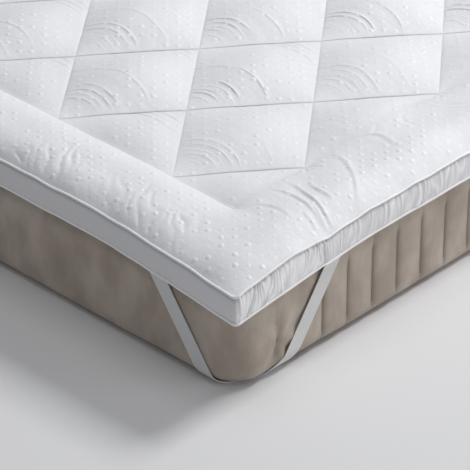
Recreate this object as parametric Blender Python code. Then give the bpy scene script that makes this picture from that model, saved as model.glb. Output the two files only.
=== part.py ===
"""A quilted mattress topper with elastic corner straps, lying on a plain mattress.

Metres, +Z up, +Y along the bed. The origin is at the centre of the mattress's underside, and the
foot end is at -Y. The topper is a filled pad, a gusset band round its sides sewn from lengths, a
corded piping on the top and the bottom seam, and one elastic strap across each corner, which runs
down the mattress's sides and under its corner.
"""

import math

import bmesh
import bpy
from mathutils import Vector

# ---- topper: plan ----
HALF_X = 0.702  # half of the width, at the corners
HALF_Y = 1.002  # half of the length, at the corners
BORDER = 0.162  # width of the plain roll round the quilted field
CORNER_RADIUS = 0.020  # seam's rounding at a corner, seen from above
DRAW_END = 0.010  # how far the short sides pull in between their corners
DRAW_LONG = 0.006  # the same on the long sides
DRAW_REACH = 0.34  # distance from a corner over which a side pulls in

# ---- topper: quilting ----
DIAMONDS_X = 4
DIAMONDS_Y = 5
CELLS = 4  # mesh cells along half a diamond
RIM_STEPS = (0.0, 0.012, 0.040, 0.086, 0.132)  # mesh rows in the roll, as distances from the seam
SEAM_HEIGHT = 0.050  # top seam above the pad's underside: the gusset's height
VALLEY_HEIGHT = 0.054  # stitched lines above the underside
FULL_HEIGHT = 0.077  # crown of a diamond and of the roll
ROUND_OFF = 0.070  # width over which the roll falls to the seam
PUFF_POWER = 0.55  # under 1 makes a diamond full, with narrow valleys
BORDER_STITCH_WIDTH = 0.030  # reach of the border stitch's trough to each side
END_STITCH = 1.0  # depth of the border stitch at the foot and the head: sewn right down
LONG_STITCH = 0.30  # along the long sides, where the roll runs into the quilting
UNEVEN = 0.10  # share by which the filling differs from one diamond to the next
UNEVEN_COLUMN = 2.3  # phases by which one diamond follows another, so that none repeats
UNEVEN_ROW = 1.7
ROLL_UNEVEN = 0.16  # the same along the roll, where it comes and goes as a wave
LUMP_X = 0.034  # radius of the wave along the short sides, and along the long sides
LUMP_Y = 0.027
LUMP_START = (1.0, 2.0)  # its phases at the middle

# ---- topper: edge, as distances inside the seam's outline ----
BAND_THICKNESS = 0.0016
BAND_BULGE = 0.0030  # gusset stands out this far at half its height
BAND_CLEAR = 0.0030  # gusset's edges stop this far from the middle of a piping
PAD_SIDE = 0.0021
PAD_TOP_EDGE = 0.0028
PAD_BOTTOM_EDGE = 0.0050
PAD_TUCK = 0.0060  # height over which the pad's side turns in to a seam
PIPING_RADIUS = 0.0026
PIPING_SIDES = 5
PIPING_OUTSIDE = 0.0002
JOIN_FROM_CORNER = 0.210  # the seam that closes the band, on the right side
JOIN_GAP = 0.0003

# ---- mattress ----
MATTRESS_HEIGHT = 0.170
OVERHANG = 0.013  # topper's corners outside the mattress's sides
MATTRESS_CORNER = 0.070
TOP_ROUND = 0.030
BOTTOM_ROUND = 0.025
ROUND_STEPS = 3
CORNER_STEPS = (0.0, 0.02, 0.045, 0.08)  # outline points round a corner, as distances from it
SIDE_STEPS = (0.15, 0.24, 0.34, 0.43)  # further outline points along a side
UNDERSIDE_INSETS = (0.090, 0.170)  # mesh rings on the underside, inside the outline
PAD_GAP = 0.0006

# ---- elastic straps ----
STRAP_WIDTH = 0.030
STRAP_THICKNESS = 0.0014
STRAP_CLEAR = 0.0008  # from the mattress's surface to the strap
STRAP_HEAD = 0.0053  # middle of a sewn end, inside the seam's outline
STRAP_HEAD_GAP = 0.0006
SIDE_STATIONS = 3
ROUND_STATIONS = 5
END_SIDE_TOP = 0.186  # sewn end on the short side, from the topper's corner
END_SIDE_LOW = 0.075  # from the mattress's corner: above its lower edge, then on its underside
END_SIDE_UNDER = 0.0545
LONG_SIDE_TOP = 0.238  # the same on the long side
LONG_SIDE_LOW = 0.130
LONG_SIDE_UNDER = 0.0722
STRAP_BED = 0.0026  # the mattress's corners are pressed up this far over a strap
BED_FULL = 0.17  # out to this sum of the distances from a corner's two sides
BED_NONE = 0.30

# Each corner is pulled down by its strap: name, side in X, side in Y, how far, and over what length.
CORNERS = (
    {"name": "foot_right", "x": 1, "y": -1, "droop": 0.020, "reach": 0.40},
    {"name": "head_right", "x": 1, "y": 1, "droop": 0.017, "reach": 0.40},
    {"name": "head_left", "x": -1, "y": 1, "droop": 0.018, "reach": 0.40},
    {"name": "foot_left", "x": -1, "y": -1, "droop": 0.018, "reach": 0.40},
)

FIELD_X = HALF_X - BORDER
FIELD_Y = HALF_Y - BORDER
HALF_DIAMOND_X = FIELD_X / DIAMONDS_X
HALF_DIAMOND_Y = FIELD_Y / DIAMONDS_Y
MATTRESS_X = HALF_X - OVERHANG
MATTRESS_Y = HALF_Y - OVERHANG

SAME_POINT = 1e-6  # points closer than this are one
SHARP_EDGE = math.radians(65.0)

# ---- finishes: colour and roughness ----
QUILTED_CLOTH = ((0.90, 0.90, 0.92), 0.90)
PIPING_CLOTH = ((0.90, 0.90, 0.92), 0.70)
GUSSET_CLOTH = ((0.84, 0.85, 0.87), 0.85)
ELASTIC = ((0.72, 0.73, 0.74), 0.80)
TAUPE_CLOTH = ((0.33, 0.29, 0.25), 0.85)


# ---- numbers along a line ----
def smooth(t):
    """0 to 1 with no kink at either end."""
    t = min(max(t, 0.0), 1.0)
    return t * t * (3.0 - 2.0 * t)


def mix(low, high, t):
    return low + (high - low) * t


def mirrored(half, steps):
    """Positions from -half to half, with these distances from each end."""
    low = [-half + step for step in steps]
    return low + [-value for value in reversed(low)]


# ---- plan of the topper ----
def drawn_in(reach_of_corner, most):
    """How far a side lies inside its corners' line, at this distance from the nearest corner."""
    return most * smooth(reach_of_corner / DRAW_REACH)


def rounded(a, b, half_x, half_y, radius):
    """A point of a rectangle's plan moved so that its corner is an arc, with its outward way."""
    over_x = abs(a) - (half_x - radius)
    over_y = abs(b) - (half_y - radius)
    sign_x = math.copysign(1.0, a)
    sign_y = math.copysign(1.0, b)
    if over_x <= 0.0 or over_y <= 0.0:
        away = (sign_x, 0.0) if half_x - abs(a) < half_y - abs(b) else (0.0, sign_y)
        return a, b, Vector((away[0], away[1], 0.0))
    length = math.hypot(over_x, over_y)
    away = Vector((sign_x * over_x / length, sign_y * over_y / length, 0.0))
    reach = max(over_x, over_y)
    x = sign_x * (half_x - radius + abs(away.x) * reach)
    y = sign_y * (half_y - radius + abs(away.y) * reach)
    return x, y, away


def topper_plan(a, b, inside=0.0):
    """Where a point of the flat pattern lies: its sides drawn in, its corners rounded."""
    x, y, away = rounded(a, b, HALF_X, HALF_Y, CORNER_RADIUS)
    in_border_x = smooth((abs(a) - FIELD_X) / BORDER)
    in_border_y = smooth((abs(b) - FIELD_Y) / BORDER)
    x -= math.copysign(drawn_in(HALF_Y - abs(b), DRAW_LONG) * in_border_x, a)
    y -= math.copysign(drawn_in(HALF_X - abs(a), DRAW_END) * in_border_y, b)
    return x - away.x * inside, y - away.y * inside


def droop(x, y):
    total = 0.0
    for corner in CORNERS:
        distance = math.hypot(x - corner["x"] * HALF_X, y - corner["y"] * HALF_Y)
        total += corner["droop"] * max(0.0, 1.0 - distance / corner["reach"]) ** 2
    return total


def underside(x, y):
    return MATTRESS_HEIGHT + PAD_GAP - droop(x, y)


# ---- height of the quilting ----
def line_distance(value):
    """0 on a stitched line and 1 halfway to the next, for lines at the odd whole numbers."""
    return abs(value % 2.0 - 1.0)


def diamond_fullness(a, b):
    """0 on the crossing lines, 1 at a diamond's middle."""
    across = (a + FIELD_X) / HALF_DIAMOND_X
    along = (b + FIELD_Y) / HALF_DIAMOND_Y
    rising = line_distance(across + along)
    falling = line_distance(across - along)
    full = math.sin(rising * math.pi / 2.0) * math.sin(falling * math.pi / 2.0)
    column = round((across + along) / 2.0)
    row = round((across - along) / 2.0)
    uneven = 1.0 + UNEVEN * math.sin(UNEVEN_COLUMN * column + UNEVEN_ROW * row * row)
    return uneven * max(full, 0.0) ** PUFF_POWER


def trough(distance, depth):
    """Share of the fullness left beside the border stitch, which is a sharp crease."""
    return 1.0 - depth * math.exp(-distance / BORDER_STITCH_WIDTH)


def fullness(a, b):
    """0 where the pad is sewn right down and 1 where its filling stands highest."""
    near_x = min(max(a, -FIELD_X), FIELD_X)
    near_y = min(max(b, -FIELD_Y), FIELD_Y)
    inner = diamond_fullness(near_x, near_y)
    inner *= trough(FIELD_Y - abs(near_y), END_STITCH)
    inner *= trough(FIELD_X - abs(near_x), LONG_STITCH)
    outside = math.hypot(a - near_x, b - near_y)
    lumps = math.sin(a / LUMP_X + LUMP_START[0]) + math.sin(b / LUMP_Y + LUMP_START[1])
    lumpy = 1.0 + ROLL_UNEVEN * lumps / 2.0 * smooth(2.0 * outside / BORDER)
    return lumpy * trough(outside, 1.0 - inner)


def rise(distance):
    """A quarter of an ellipse: 0 at the seam, 1 where the roll is at its full height."""
    left = min(max(0.0, 1.0 - distance / ROUND_OFF), 1.0)
    return math.sqrt(1.0 - left * left)


def pad_height(a, b):
    quilted = mix(VALLEY_HEIGHT, FULL_HEIGHT, fullness(a, b))
    roll = rise(HALF_X - abs(a)) * rise(HALF_Y - abs(b))
    return mix(SEAM_HEIGHT, quilted, roll)


# ---- mesh building ----
def new_object(name, mesh_builder, finish):
    mesh = bpy.data.meshes.new(name)
    mesh_builder.normal_update()
    mesh_builder.to_mesh(mesh)
    mesh_builder.free()
    mesh.shade_smooth()
    mesh.set_sharp_from_angle(angle=SHARP_EDGE)
    material = bpy.data.materials.new(name)
    material.use_nodes = True
    shader = material.node_tree.nodes["Principled BSDF"]
    colour, roughness = finish
    shader.inputs["Base Color"].default_value = (*colour, 1.0)
    shader.inputs["Roughness"].default_value = roughness
    shader.inputs["Metallic"].default_value = 0.0
    mesh.materials.append(material)
    made = bpy.data.objects.new(name, mesh)
    bpy.context.scene.collection.objects.link(made)
    return made


def add_grid(bm, columns, rows, layers):
    """A flat grid whose points keep their place in the pattern, a and b, in two layers."""
    count_x = len(columns) - 1
    count_y = len(rows) - 1
    made = bmesh.ops.create_grid(bm, x_segments=count_x, y_segments=count_y, size=1.0)
    for vert in made["verts"]:
        vert[layers[0]] = columns[round((vert.co.x + 1.0) / 2.0 * count_x)]
        vert[layers[1]] = rows[round((vert.co.y + 1.0) / 2.0 * count_y)]
    return made["verts"]


def pattern_layers(bm):
    return bm.verts.layers.float.new("a"), bm.verts.layers.float.new("b")


def faces_of(verts):
    return list({face for vert in verts for face in vert.link_faces})


def split_along_stitches(bm, layers):
    """Each square of the quilted top cut in two along the way its nearest stitched line runs."""
    rising, falling = [], []
    for face in bm.faces:
        a = sum(vert[layers[0]] for vert in face.verts) / len(face.verts)
        b = sum(vert[layers[1]] for vert in face.verts) / len(face.verts)
        half_column = math.floor((a + FIELD_X) / HALF_DIAMOND_X)
        half_row = math.floor((b + FIELD_Y) / HALF_DIAMOND_Y)
        (falling if (half_column + half_row) % 2 == 0 else rising).append(face)
    bmesh.ops.triangulate(bm, faces=rising, quad_method="FIXED")
    bmesh.ops.triangulate(bm, faces=falling, quad_method="ALTERNATE")


def rim_of(verts):
    return list({edge for vert in verts for edge in vert.link_edges if edge.is_boundary})


def next_loop(bm, edges, place):
    """The loop of edges extruded once, its new points put where place says."""
    made = bmesh.ops.extrude_edge_only(bm, edges=edges)["geom"]
    for vert in (item for item in made if isinstance(item, bmesh.types.BMVert)):
        vert.co = place(vert)
    return [item for item in made if isinstance(item, bmesh.types.BMEdge)]


def sweep(stations, section, closed):
    """A section carried along stations, each an origin with its way across and its way up."""
    bm = bmesh.new()
    spot = bm.verts.layers.int.new("spot")
    start = bmesh.ops.create_circle(bm, segments=len(section), radius=1.0)["verts"]
    for index, vert in enumerate(start):
        vert[spot] = index
    first = list(bm.edges)

    def at(station):
        origin, across, up = station

        def place(vert):
            side, height = section[vert[spot]]
            return origin + across * side + up * height

        return place

    for vert in start:
        vert.co = at(stations[0])(vert)
    edges = first
    for station in stations[1:]:
        edges = next_loop(bm, edges, at(station))
    if closed:
        edges = next_loop(bm, edges, at(stations[0]))
        bmesh.ops.remove_doubles(bm, verts=list(bm.verts), dist=SAME_POINT)
    else:
        bmesh.ops.contextual_create(bm, geom=first)
        bmesh.ops.contextual_create(bm, geom=edges)
    bmesh.ops.recalc_face_normals(bm, faces=list(bm.faces))
    return bm


# ---- outlines ----
def pattern_lines(half, field, diamonds):
    """Positions of the quilted top's mesh lines, across the roll, the field and the roll."""
    cells = 2 * diamonds * CELLS
    quilted = [-field + 2.0 * field * index / cells for index in range(cells + 1)]
    rim = mirrored(half, RIM_STEPS)
    return rim[: len(RIM_STEPS)] + quilted + rim[len(RIM_STEPS) :]


def seam_pattern():
    """The pattern's rim, from the foot's right corner up the right side and so on round."""
    columns = pattern_lines(HALF_X, FIELD_X, DIAMONDS_X)
    rows = pattern_lines(HALF_Y, FIELD_Y, DIAMONDS_Y)
    right = [(HALF_X, row) for row in rows[:-1]]
    head = [(column, HALF_Y) for column in reversed(columns[1:])]
    left = [(-HALF_X, row) for row in reversed(rows[1:])]
    foot = [(column, -HALF_Y) for column in columns[:-1]]
    return right + head + left + foot


def seam_station(a, b):
    """A point of the seam at the pad's underside, with the way out and up."""
    x, y = topper_plan(a, b)
    away = rounded(a, b, HALF_X, HALF_Y, CORNER_RADIUS)[2]
    return Vector((x, y, underside(x, y))), away, Vector((0.0, 0.0, 1.0))


# ---- pieces ----
def build_mattress_top(bm, layers):
    """The part of the mattress's top inside its rounded rim, as triangles; the pad lies on it."""
    inset = TOP_ROUND
    half_x = MATTRESS_X - inset
    half_y = MATTRESS_Y - inset
    scale = (MATTRESS_CORNER - inset) / MATTRESS_CORNER
    steps = [step * scale for step in CORNER_STEPS] + [step - inset for step in SIDE_STEPS]
    columns = mirrored(half_x, steps)
    rows = mirrored(half_y, steps)
    verts = add_grid(bm, columns, rows, layers)
    for vert in verts:
        a, b = vert[layers[0]], vert[layers[1]]
        x, y, _ = rounded(a, b, half_x, half_y, MATTRESS_CORNER - inset)
        vert.co = (x, y, MATTRESS_HEIGHT - droop(x, y))
    bmesh.ops.triangulate(bm, faces=faces_of(verts), quad_method="FIXED")
    return verts


def strap_bed(x, y):
    """Height to which the mattress's underside is pressed up over a strap."""
    reach = (MATTRESS_X - abs(x)) + (MATTRESS_Y - abs(y))
    return STRAP_BED * (1.0 - smooth((reach - BED_FULL) / (BED_NONE - BED_FULL)))


def build_mattress():
    bm = bmesh.new()
    layers = pattern_layers(bm)
    rim = rim_of(build_mattress_top(bm, layers))
    inner_x = MATTRESS_X - TOP_ROUND
    inner_y = MATTRESS_Y - TOP_ROUND

    def ring(outward, height, to_floor=False):
        """Points this far outside the top's rim; heights are from the top or from the underside."""

        def place(vert):
            a, b = vert[layers[0]], vert[layers[1]]
            x, y, away = rounded(a, b, inner_x, inner_y, MATTRESS_CORNER - TOP_ROUND)
            x += away.x * outward
            y += away.y * outward
            level = strap_bed(x, y) if to_floor else MATTRESS_HEIGHT - droop(x, y)
            return Vector((x, y, level + height))

        return place

    for step in range(1, ROUND_STEPS + 1):
        turn = math.pi / 2.0 * step / ROUND_STEPS
        rim = next_loop(bm, rim, ring(TOP_ROUND * math.sin(turn), -TOP_ROUND * (1.0 - math.cos(turn))))
    for step in range(ROUND_STEPS + 1):
        turn = math.pi / 2.0 * step / ROUND_STEPS
        outward = TOP_ROUND - BOTTOM_ROUND * (1.0 - math.cos(turn))
        rim = next_loop(bm, rim, ring(outward, BOTTOM_ROUND * (1.0 - math.sin(turn)), to_floor=True))

    def under_ring(inset):
        def place(vert):
            x = math.copysign(min(abs(vert.co.x), MATTRESS_X - inset), vert.co.x)
            y = math.copysign(min(abs(vert.co.y), MATTRESS_Y - inset), vert.co.y)
            return Vector((x, y, strap_bed(x, y)))

        return place

    for inset in UNDERSIDE_INSETS:
        rim = next_loop(bm, rim, under_ring(inset))
    bmesh.ops.remove_doubles(bm, verts=list(bm.verts), dist=SAME_POINT)
    bmesh.ops.holes_fill(bm, edges=[edge for edge in bm.edges if edge.is_boundary], sides=0)
    bmesh.ops.recalc_face_normals(bm, faces=list(bm.faces))
    return new_object("mattress", bm, TAUPE_CLOTH)


def build_pad():
    bm = bmesh.new()
    layers = pattern_layers(bm)
    columns = pattern_lines(HALF_X, FIELD_X, DIAMONDS_X)
    rows = pattern_lines(HALF_Y, FIELD_Y, DIAMONDS_Y)
    verts = add_grid(bm, columns, rows, layers)
    for vert in verts:
        a, b = vert[layers[0]], vert[layers[1]]
        at_seam = abs(a) >= HALF_X - SAME_POINT or abs(b) >= HALF_Y - SAME_POINT
        x, y = topper_plan(a, b, PAD_TOP_EDGE if at_seam else 0.0)
        vert.co = (x, y, underside(x, y) + pad_height(a, b))
    rim = rim_of(verts)
    split_along_stitches(bm, layers)

    def ring(inside, height):
        def place(vert):
            a, b = vert[layers[0]], vert[layers[1]]
            x, y = topper_plan(a, b, inside)
            return Vector((x, y, underside(x, y) + height))

        return place

    rim = next_loop(bm, rim, ring(PAD_SIDE, SEAM_HEIGHT - PAD_TUCK))
    rim = next_loop(bm, rim, ring(PAD_SIDE - BAND_BULGE, SEAM_HEIGHT / 2.0))
    rim = next_loop(bm, rim, ring(PAD_SIDE, PAD_TUCK))
    rim = next_loop(bm, rim, ring(PAD_BOTTOM_EDGE, 0.0))
    below = build_mattress_top(bm, layers)
    for vert in below:
        vert.co.z += PAD_GAP
    bmesh.ops.reverse_faces(bm, faces=faces_of(below))
    bmesh.ops.bridge_loops(bm, edges=rim + rim_of(below))
    bmesh.ops.recalc_face_normals(bm, faces=list(bm.faces))
    return new_object("quilted_pad", bm, QUILTED_CLOTH)


def build_piping(name, height):
    stations = []
    for a, b in seam_pattern():
        origin, away, up = seam_station(a, b)
        stations.append((origin + up * height + away * PIPING_OUTSIDE, away, up))
    section = []
    for side in range(PIPING_SIDES):
        turn = 2.0 * math.pi * side / PIPING_SIDES
        section.append((PIPING_RADIUS * math.cos(turn), PIPING_RADIUS * math.sin(turn)))
    return new_object(name, sweep(stations, section, closed=True), PIPING_CLOTH)


def build_gusset(name, points):
    """One length of the band, standing between the two pipings, from its first point to its last."""
    stations = [seam_station(a, b) for a, b in points]
    ends = ((0, 1), (len(stations) - 1, len(stations) - 2))
    for end, beside in ends:
        origin, away, up = stations[end]
        along = (stations[beside][0] - origin).normalized()
        stations[end] = (origin + along * JOIN_GAP, away, up)
    low = BAND_CLEAR
    middle = SEAM_HEIGHT / 2.0
    high = SEAM_HEIGHT - BAND_CLEAR
    section = (
        (0.0, low),
        (BAND_BULGE, middle),
        (0.0, high),
        (-BAND_THICKNESS, high),
        (BAND_BULGE - BAND_THICKNESS, middle),
        (-BAND_THICKNESS, low),
    )
    return new_object(name, sweep(stations, section, closed=False), GUSSET_CLOTH)


def build_gussets():
    pattern = seam_pattern()
    corners = [index for index, (a, b) in enumerate(pattern) if abs(a) == HALF_X and abs(b) == HALF_Y]
    join = min(
        range(corners[0], corners[1]),
        key=lambda index: abs(pattern[index][1] + HALF_Y - JOIN_FROM_CORNER),
    )
    loop = pattern + [pattern[0]]
    cuts = (
        ("gusset_right_end", corners[0], join),
        ("gusset_right", join, corners[1]),
        ("gusset_head", corners[1], corners[2]),
        ("gusset_left", corners[2], corners[3]),
        ("gusset_foot", corners[3], len(pattern)),
    )
    for name, first, last in cuts:
        build_gusset(name, loop[first : last + 1])


def beside_mattress(corner, end_side, from_corner, height, stand_off):
    """A point this far from the mattress's square corner, along a short or a long side."""
    if end_side:
        x = corner["x"] * (MATTRESS_X - from_corner)
        return Vector((x, corner["y"] * (MATTRESS_Y + stand_off), height))
    y = corner["y"] * (MATTRESS_Y - from_corner)
    return Vector((corner["x"] * (MATTRESS_X + stand_off), y, height))


def strap_head(corner, end_side, from_corner):
    """A point of the strap's sewn end, just under the pad and behind the bottom piping."""
    if end_side:
        pattern = (corner["x"] * (HALF_X - from_corner), corner["y"] * HALF_Y)
    else:
        pattern = (corner["x"] * HALF_X, corner["y"] * (HALF_Y - from_corner))
    x, y = topper_plan(*pattern, STRAP_HEAD)
    return Vector((x, y, underside(x, y) - STRAP_HEAD_GAP))


def strap_run(corner, end_side, top, low, under):
    """Stations down one side, from the sewn end round the mattress's lower edge.

    The strap leans towards the corner, so a level cut across it is wider than the strap.
    """
    outward = Vector((0.0, corner["y"], 0.0)) if end_side else Vector((corner["x"], 0.0, 0.0))
    away = Vector((-corner["x"], 0.0, 0.0)) if end_side else Vector((0.0, -corner["y"], 0.0))
    down = Vector((0.0, 0.0, -1.0))
    middle = STRAP_CLEAR + STRAP_THICKNESS / 2.0
    head = strap_head(corner, end_side, top)
    low_end = beside_mattress(corner, end_side, low, BOTTOM_ROUND + STRAP_BED, middle)
    side_cut = math.hypot(1.0, (top - OVERHANG - low) / (head.z - low_end.z))
    reach = STRAP_WIDTH / 2.0 * side_cut
    before = strap_head(corner, end_side, top - reach)
    beyond = strap_head(corner, end_side, top + reach)
    stations = [(head, (beyond - before) / STRAP_WIDTH, outward)]
    for step in range(1, SIDE_STATIONS + 1):
        stations.append((head.lerp(low_end, step / SIDE_STATIONS), away * side_cut, outward))
    arc = BOTTOM_ROUND + middle
    round_cut = math.hypot(1.0, (low - under) / (arc * math.pi / 2.0))
    for step in range(1, ROUND_STATIONS + 1):
        t = step / ROUND_STATIONS
        turn = math.pi / 2.0 * t
        height = STRAP_BED + BOTTOM_ROUND - arc * math.sin(turn)
        stand_off = arc * math.cos(turn) - BOTTOM_ROUND
        point = beside_mattress(corner, end_side, mix(low, under, t), height, stand_off)
        facing = outward * math.cos(turn) + down * math.sin(turn)
        stations.append((point, away * round_cut, facing))
    return stations


def build_strap(corner):
    from_end = strap_run(corner, True, END_SIDE_TOP, END_SIDE_LOW, END_SIDE_UNDER)
    to_long = strap_run(corner, False, LONG_SIDE_TOP, LONG_SIDE_LOW, LONG_SIDE_UNDER)
    half = STRAP_WIDTH / 2.0
    thick = STRAP_THICKNESS / 2.0
    section = ((-half, -thick), (half, -thick), (half, thick), (-half, thick))
    bm = sweep(from_end + list(reversed(to_long)), section, closed=False)
    return new_object("strap_" + corner["name"], bm, ELASTIC)


def build():
    for old in list(bpy.data.objects):
        bpy.data.objects.remove(old)
    build_mattress()
    build_pad()
    build_gussets()
    build_piping("piping_top", SEAM_HEIGHT)
    build_piping("piping_bottom", 0.0)
    for corner in CORNERS:
        build_strap(corner)


build()
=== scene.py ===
"""The finished look of a quilted mattress topper, held on a mattress by elastic corner straps.

Metres, +Z up, +Y along the bed, the foot end at -Y. A point of the topper is known by its place in
the flat pattern, a across and b along, and lies where topper_plan and the heights put it.
"""

import functools
import math

import bmesh
import bpy
import numpy as np
from mathutils import Matrix, Vector


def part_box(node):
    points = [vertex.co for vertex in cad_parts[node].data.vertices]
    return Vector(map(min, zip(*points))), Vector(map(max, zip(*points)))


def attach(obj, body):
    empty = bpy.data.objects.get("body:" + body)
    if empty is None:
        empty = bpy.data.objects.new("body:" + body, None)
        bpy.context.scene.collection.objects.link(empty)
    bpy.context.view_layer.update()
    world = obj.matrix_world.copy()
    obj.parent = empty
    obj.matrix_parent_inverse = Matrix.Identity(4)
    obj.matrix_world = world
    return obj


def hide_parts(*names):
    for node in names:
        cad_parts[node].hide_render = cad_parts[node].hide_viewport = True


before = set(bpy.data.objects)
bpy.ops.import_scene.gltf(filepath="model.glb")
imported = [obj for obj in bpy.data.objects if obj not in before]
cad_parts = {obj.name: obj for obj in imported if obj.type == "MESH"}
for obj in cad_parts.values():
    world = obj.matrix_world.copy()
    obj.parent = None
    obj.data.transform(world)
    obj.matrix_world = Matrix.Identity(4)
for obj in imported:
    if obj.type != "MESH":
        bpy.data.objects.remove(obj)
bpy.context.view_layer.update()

MATTRESS_X, MATTRESS_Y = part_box("mattress")[1].x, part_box("mattress")[1].y

# ---- topper: plan, as in the frame ----
OVERHANG = 0.013
HALF_X = MATTRESS_X + OVERHANG
HALF_Y = MATTRESS_Y + OVERHANG
BORDER = 0.162
CORNER_RADIUS = 0.009
DRAW_END = 0.010
DRAW_LONG = 0.006
DRAW_REACH = 0.34
DIAMONDS_X = 4
DIAMONDS_Y = 5
FIELD_X = HALF_X - BORDER
FIELD_Y = HALF_Y - BORDER
HALF_DIAMOND_X = FIELD_X / DIAMONDS_X
HALF_DIAMOND_Y = FIELD_Y / DIAMONDS_Y

# ---- topper: heights above its underside ----
SEAM_HEIGHT = 0.050
VALLEY_HEIGHT = 0.054
FULL_HEIGHT = 0.077
ROUND_OFF = 0.066
CORNER_ROUND_OFF = 0.084
CORNER_THIN = 0.05  # from a corner; the filling gets thicker from here, over the next length
CORNER_THICKENS = 0.30
ROUND_POWER = 2.3
PUFF_POWER = 0.50
PUFF_STEEP = 0.27  # share of the puff that rises steeply from the stitching; the rest is a dome
BORDER_STITCH_WIDTH = 0.042
END_STITCH = 1.0
LONG_STITCH = 0.14
UNEVEN = 0.10
UNEVEN_COLUMN = 2.3
UNEVEN_ROW = 1.7
ROLL_UNEVEN = 0.16
LUMP_X = 0.034
LUMP_Y = 0.027
LUMP_START = (1.0, 2.0)

# ---- topper: edge ----
BAND_BULGE = 0.0030
PAD_SIDE = 0.0021
PAD_TOP_EDGE = 0.0022
PAD_BOTTOM_EDGE = 0.0050
PAD_TUCK = 0.0060
PIPING_RADIUS = 0.0026
PIPING_OUTSIDE = 0.0002
JOIN_FROM_CORNER = 0.210
STRAP_HEAD_END = 0.186
STRAP_HEAD_LONG = 0.238

# ---- mattress ----
MATTRESS_HEIGHT = 0.170
MATTRESS_CORNER = 0.070
TOP_ROUND = 0.030
BOTTOM_ROUND = 0.025
PAD_GAP = 0.0006
STRAP_BED = 0.0026
BED_FULL = 0.17
BED_NONE = 0.30

# Each corner is pulled down by its strap: side in X, side in Y, and how far.
CORNERS = (
    {"name": "foot_right", "x": 1, "y": -1, "droop": 0.020},
    {"name": "head_right", "x": 1, "y": 1, "droop": 0.017},
    {"name": "head_left", "x": -1, "y": 1, "droop": 0.018},
    {"name": "foot_left", "x": -1, "y": -1, "droop": 0.018},
)
DROOP_REACH = 0.40

SAME_POINT = 1e-6
SHARP_EDGE = math.radians(75.0)


# ---- numbers along a line ----
def smooth(t):
    t = np.clip(t, 0.0, 1.0)
    return t * t * (3.0 - 2.0 * t)


def mix(low, high, t):
    return low + (high - low) * t


def hill(distance, width):
    """1 at no distance, falling softly to 0 within about twice the width."""
    return np.exp(-((distance / width) ** 2))


def noise_line(s, pitch, phase):
    """A smooth uneven wave from -1 to 1, of about this pitch."""
    turn = 2.0 * math.pi * s / pitch
    second, third = np.sin(1.71 * turn + 2.1 * phase), np.sin(0.53 * turn - phase)
    return (np.sin(turn + phase) + 0.6 * second + 0.4 * third) / 2.0


def hashed(first, second, phase):
    """A value from 0 to 1 that differs from one whole-number pair to the next."""
    return np.modf(abs(np.sin(first * 12.9898 + second * 78.233 + phase * 37.719) * 4375.85))[0]


# ---- plan of the topper ----
def rounded(a, b, half_x, half_y, radius):
    """Points of a rectangle's plan, its corners made arcs, and their outward way."""
    a, b = np.broadcast_arrays(np.asarray(a, float), np.asarray(b, float))
    over_x = abs(a) - (half_x - radius)
    over_y = abs(b) - (half_y - radius)
    sign_x = np.copysign(1.0, a)
    sign_y = np.copysign(1.0, b)
    corner = (over_x > 0.0) & (over_y > 0.0)
    length = np.where(corner, np.hypot(over_x, over_y), 1.0)
    nearer_side = half_x - abs(a) < half_y - abs(b)
    away_x = np.where(corner, sign_x * over_x / length, np.where(nearer_side, sign_x, 0.0))
    away_y = np.where(corner, sign_y * over_y / length, np.where(nearer_side, 0.0, sign_y))
    reach = np.maximum(over_x, over_y)
    x = np.where(corner, sign_x * (half_x - radius + abs(away_x) * reach), a)
    y = np.where(corner, sign_y * (half_y - radius + abs(away_y) * reach), b)
    return x, y, away_x, away_y


def inside_x(a):
    """How far a lies inside the seam of the nearer long side."""
    return HALF_X - abs(a)


def inside_y(b):
    """How far b lies inside the seam of the foot or the head."""
    return HALF_Y - abs(b)


def from_seam(a, b):
    return np.minimum(inside_x(a), inside_y(b))


def from_corner(a, b):
    return np.hypot(inside_x(a), inside_y(b))


def drawn_in(from_end, most):
    return most * smooth(from_end / DRAW_REACH)


def topper_plan(a, b, inside=0.0):
    x, y, away_x, away_y = rounded(a, b, HALF_X, HALF_Y, CORNER_RADIUS)
    in_border_x = smooth((abs(a) - FIELD_X) / BORDER)
    in_border_y = smooth((abs(b) - FIELD_Y) / BORDER)
    x = x - np.copysign(drawn_in(inside_y(b), DRAW_LONG) * in_border_x, a)
    y = y - np.copysign(drawn_in(inside_x(a), DRAW_END) * in_border_y, b)
    out = seam_wave(a, b, OUT_WAVE) * near_seam(a, b) - inside
    return x + away_x * out, y + away_y * out


def droop(x, y):
    total = 0.0
    for corner in CORNERS:
        distance = np.hypot(x - corner["x"] * HALF_X, y - corner["y"] * HALF_Y)
        total = total + corner["droop"] * np.maximum(0.0, 1.0 - distance / DROOP_REACH) ** 2
    return total


def underside(x, y):
    return MATTRESS_HEIGHT + PAD_GAP - droop(x, y)


# ---- seams: a sewn edge is never quite straight ----
SEAM_WAVE_REACH = 0.030  # the waves die out over this width inside the seam
# A seam's waves: their height, and their pitch and phase along X and along Y.
OUT_WAVE = (0.0005, (0.11, 0.4), (0.13, 1.9))
TOP_WAVE = (0.0015, (0.12, 2.2), (0.10, 0.3))
BOTTOM_WAVE = (0.0005, (0.17, 0.9), (0.15, 2.6))
JOIN_PINCH = 0.0016  # the closing seam pulls the top seam down and the bottom seam up
JOIN_REACH = 0.020
JOIN_STEP = 0.0026  # the bottom seam steps down there
JOIN_STEP_REACH = 0.022
SEAM_ARCH = 0.0080  # the top seam arches up between the corner and the closing seam
ARCH_REACH = 0.075
STRAP_PULL = 0.0016  # a strap pulls the bottom seam down where it is sewn on
STRAP_REACH = 0.030


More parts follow.
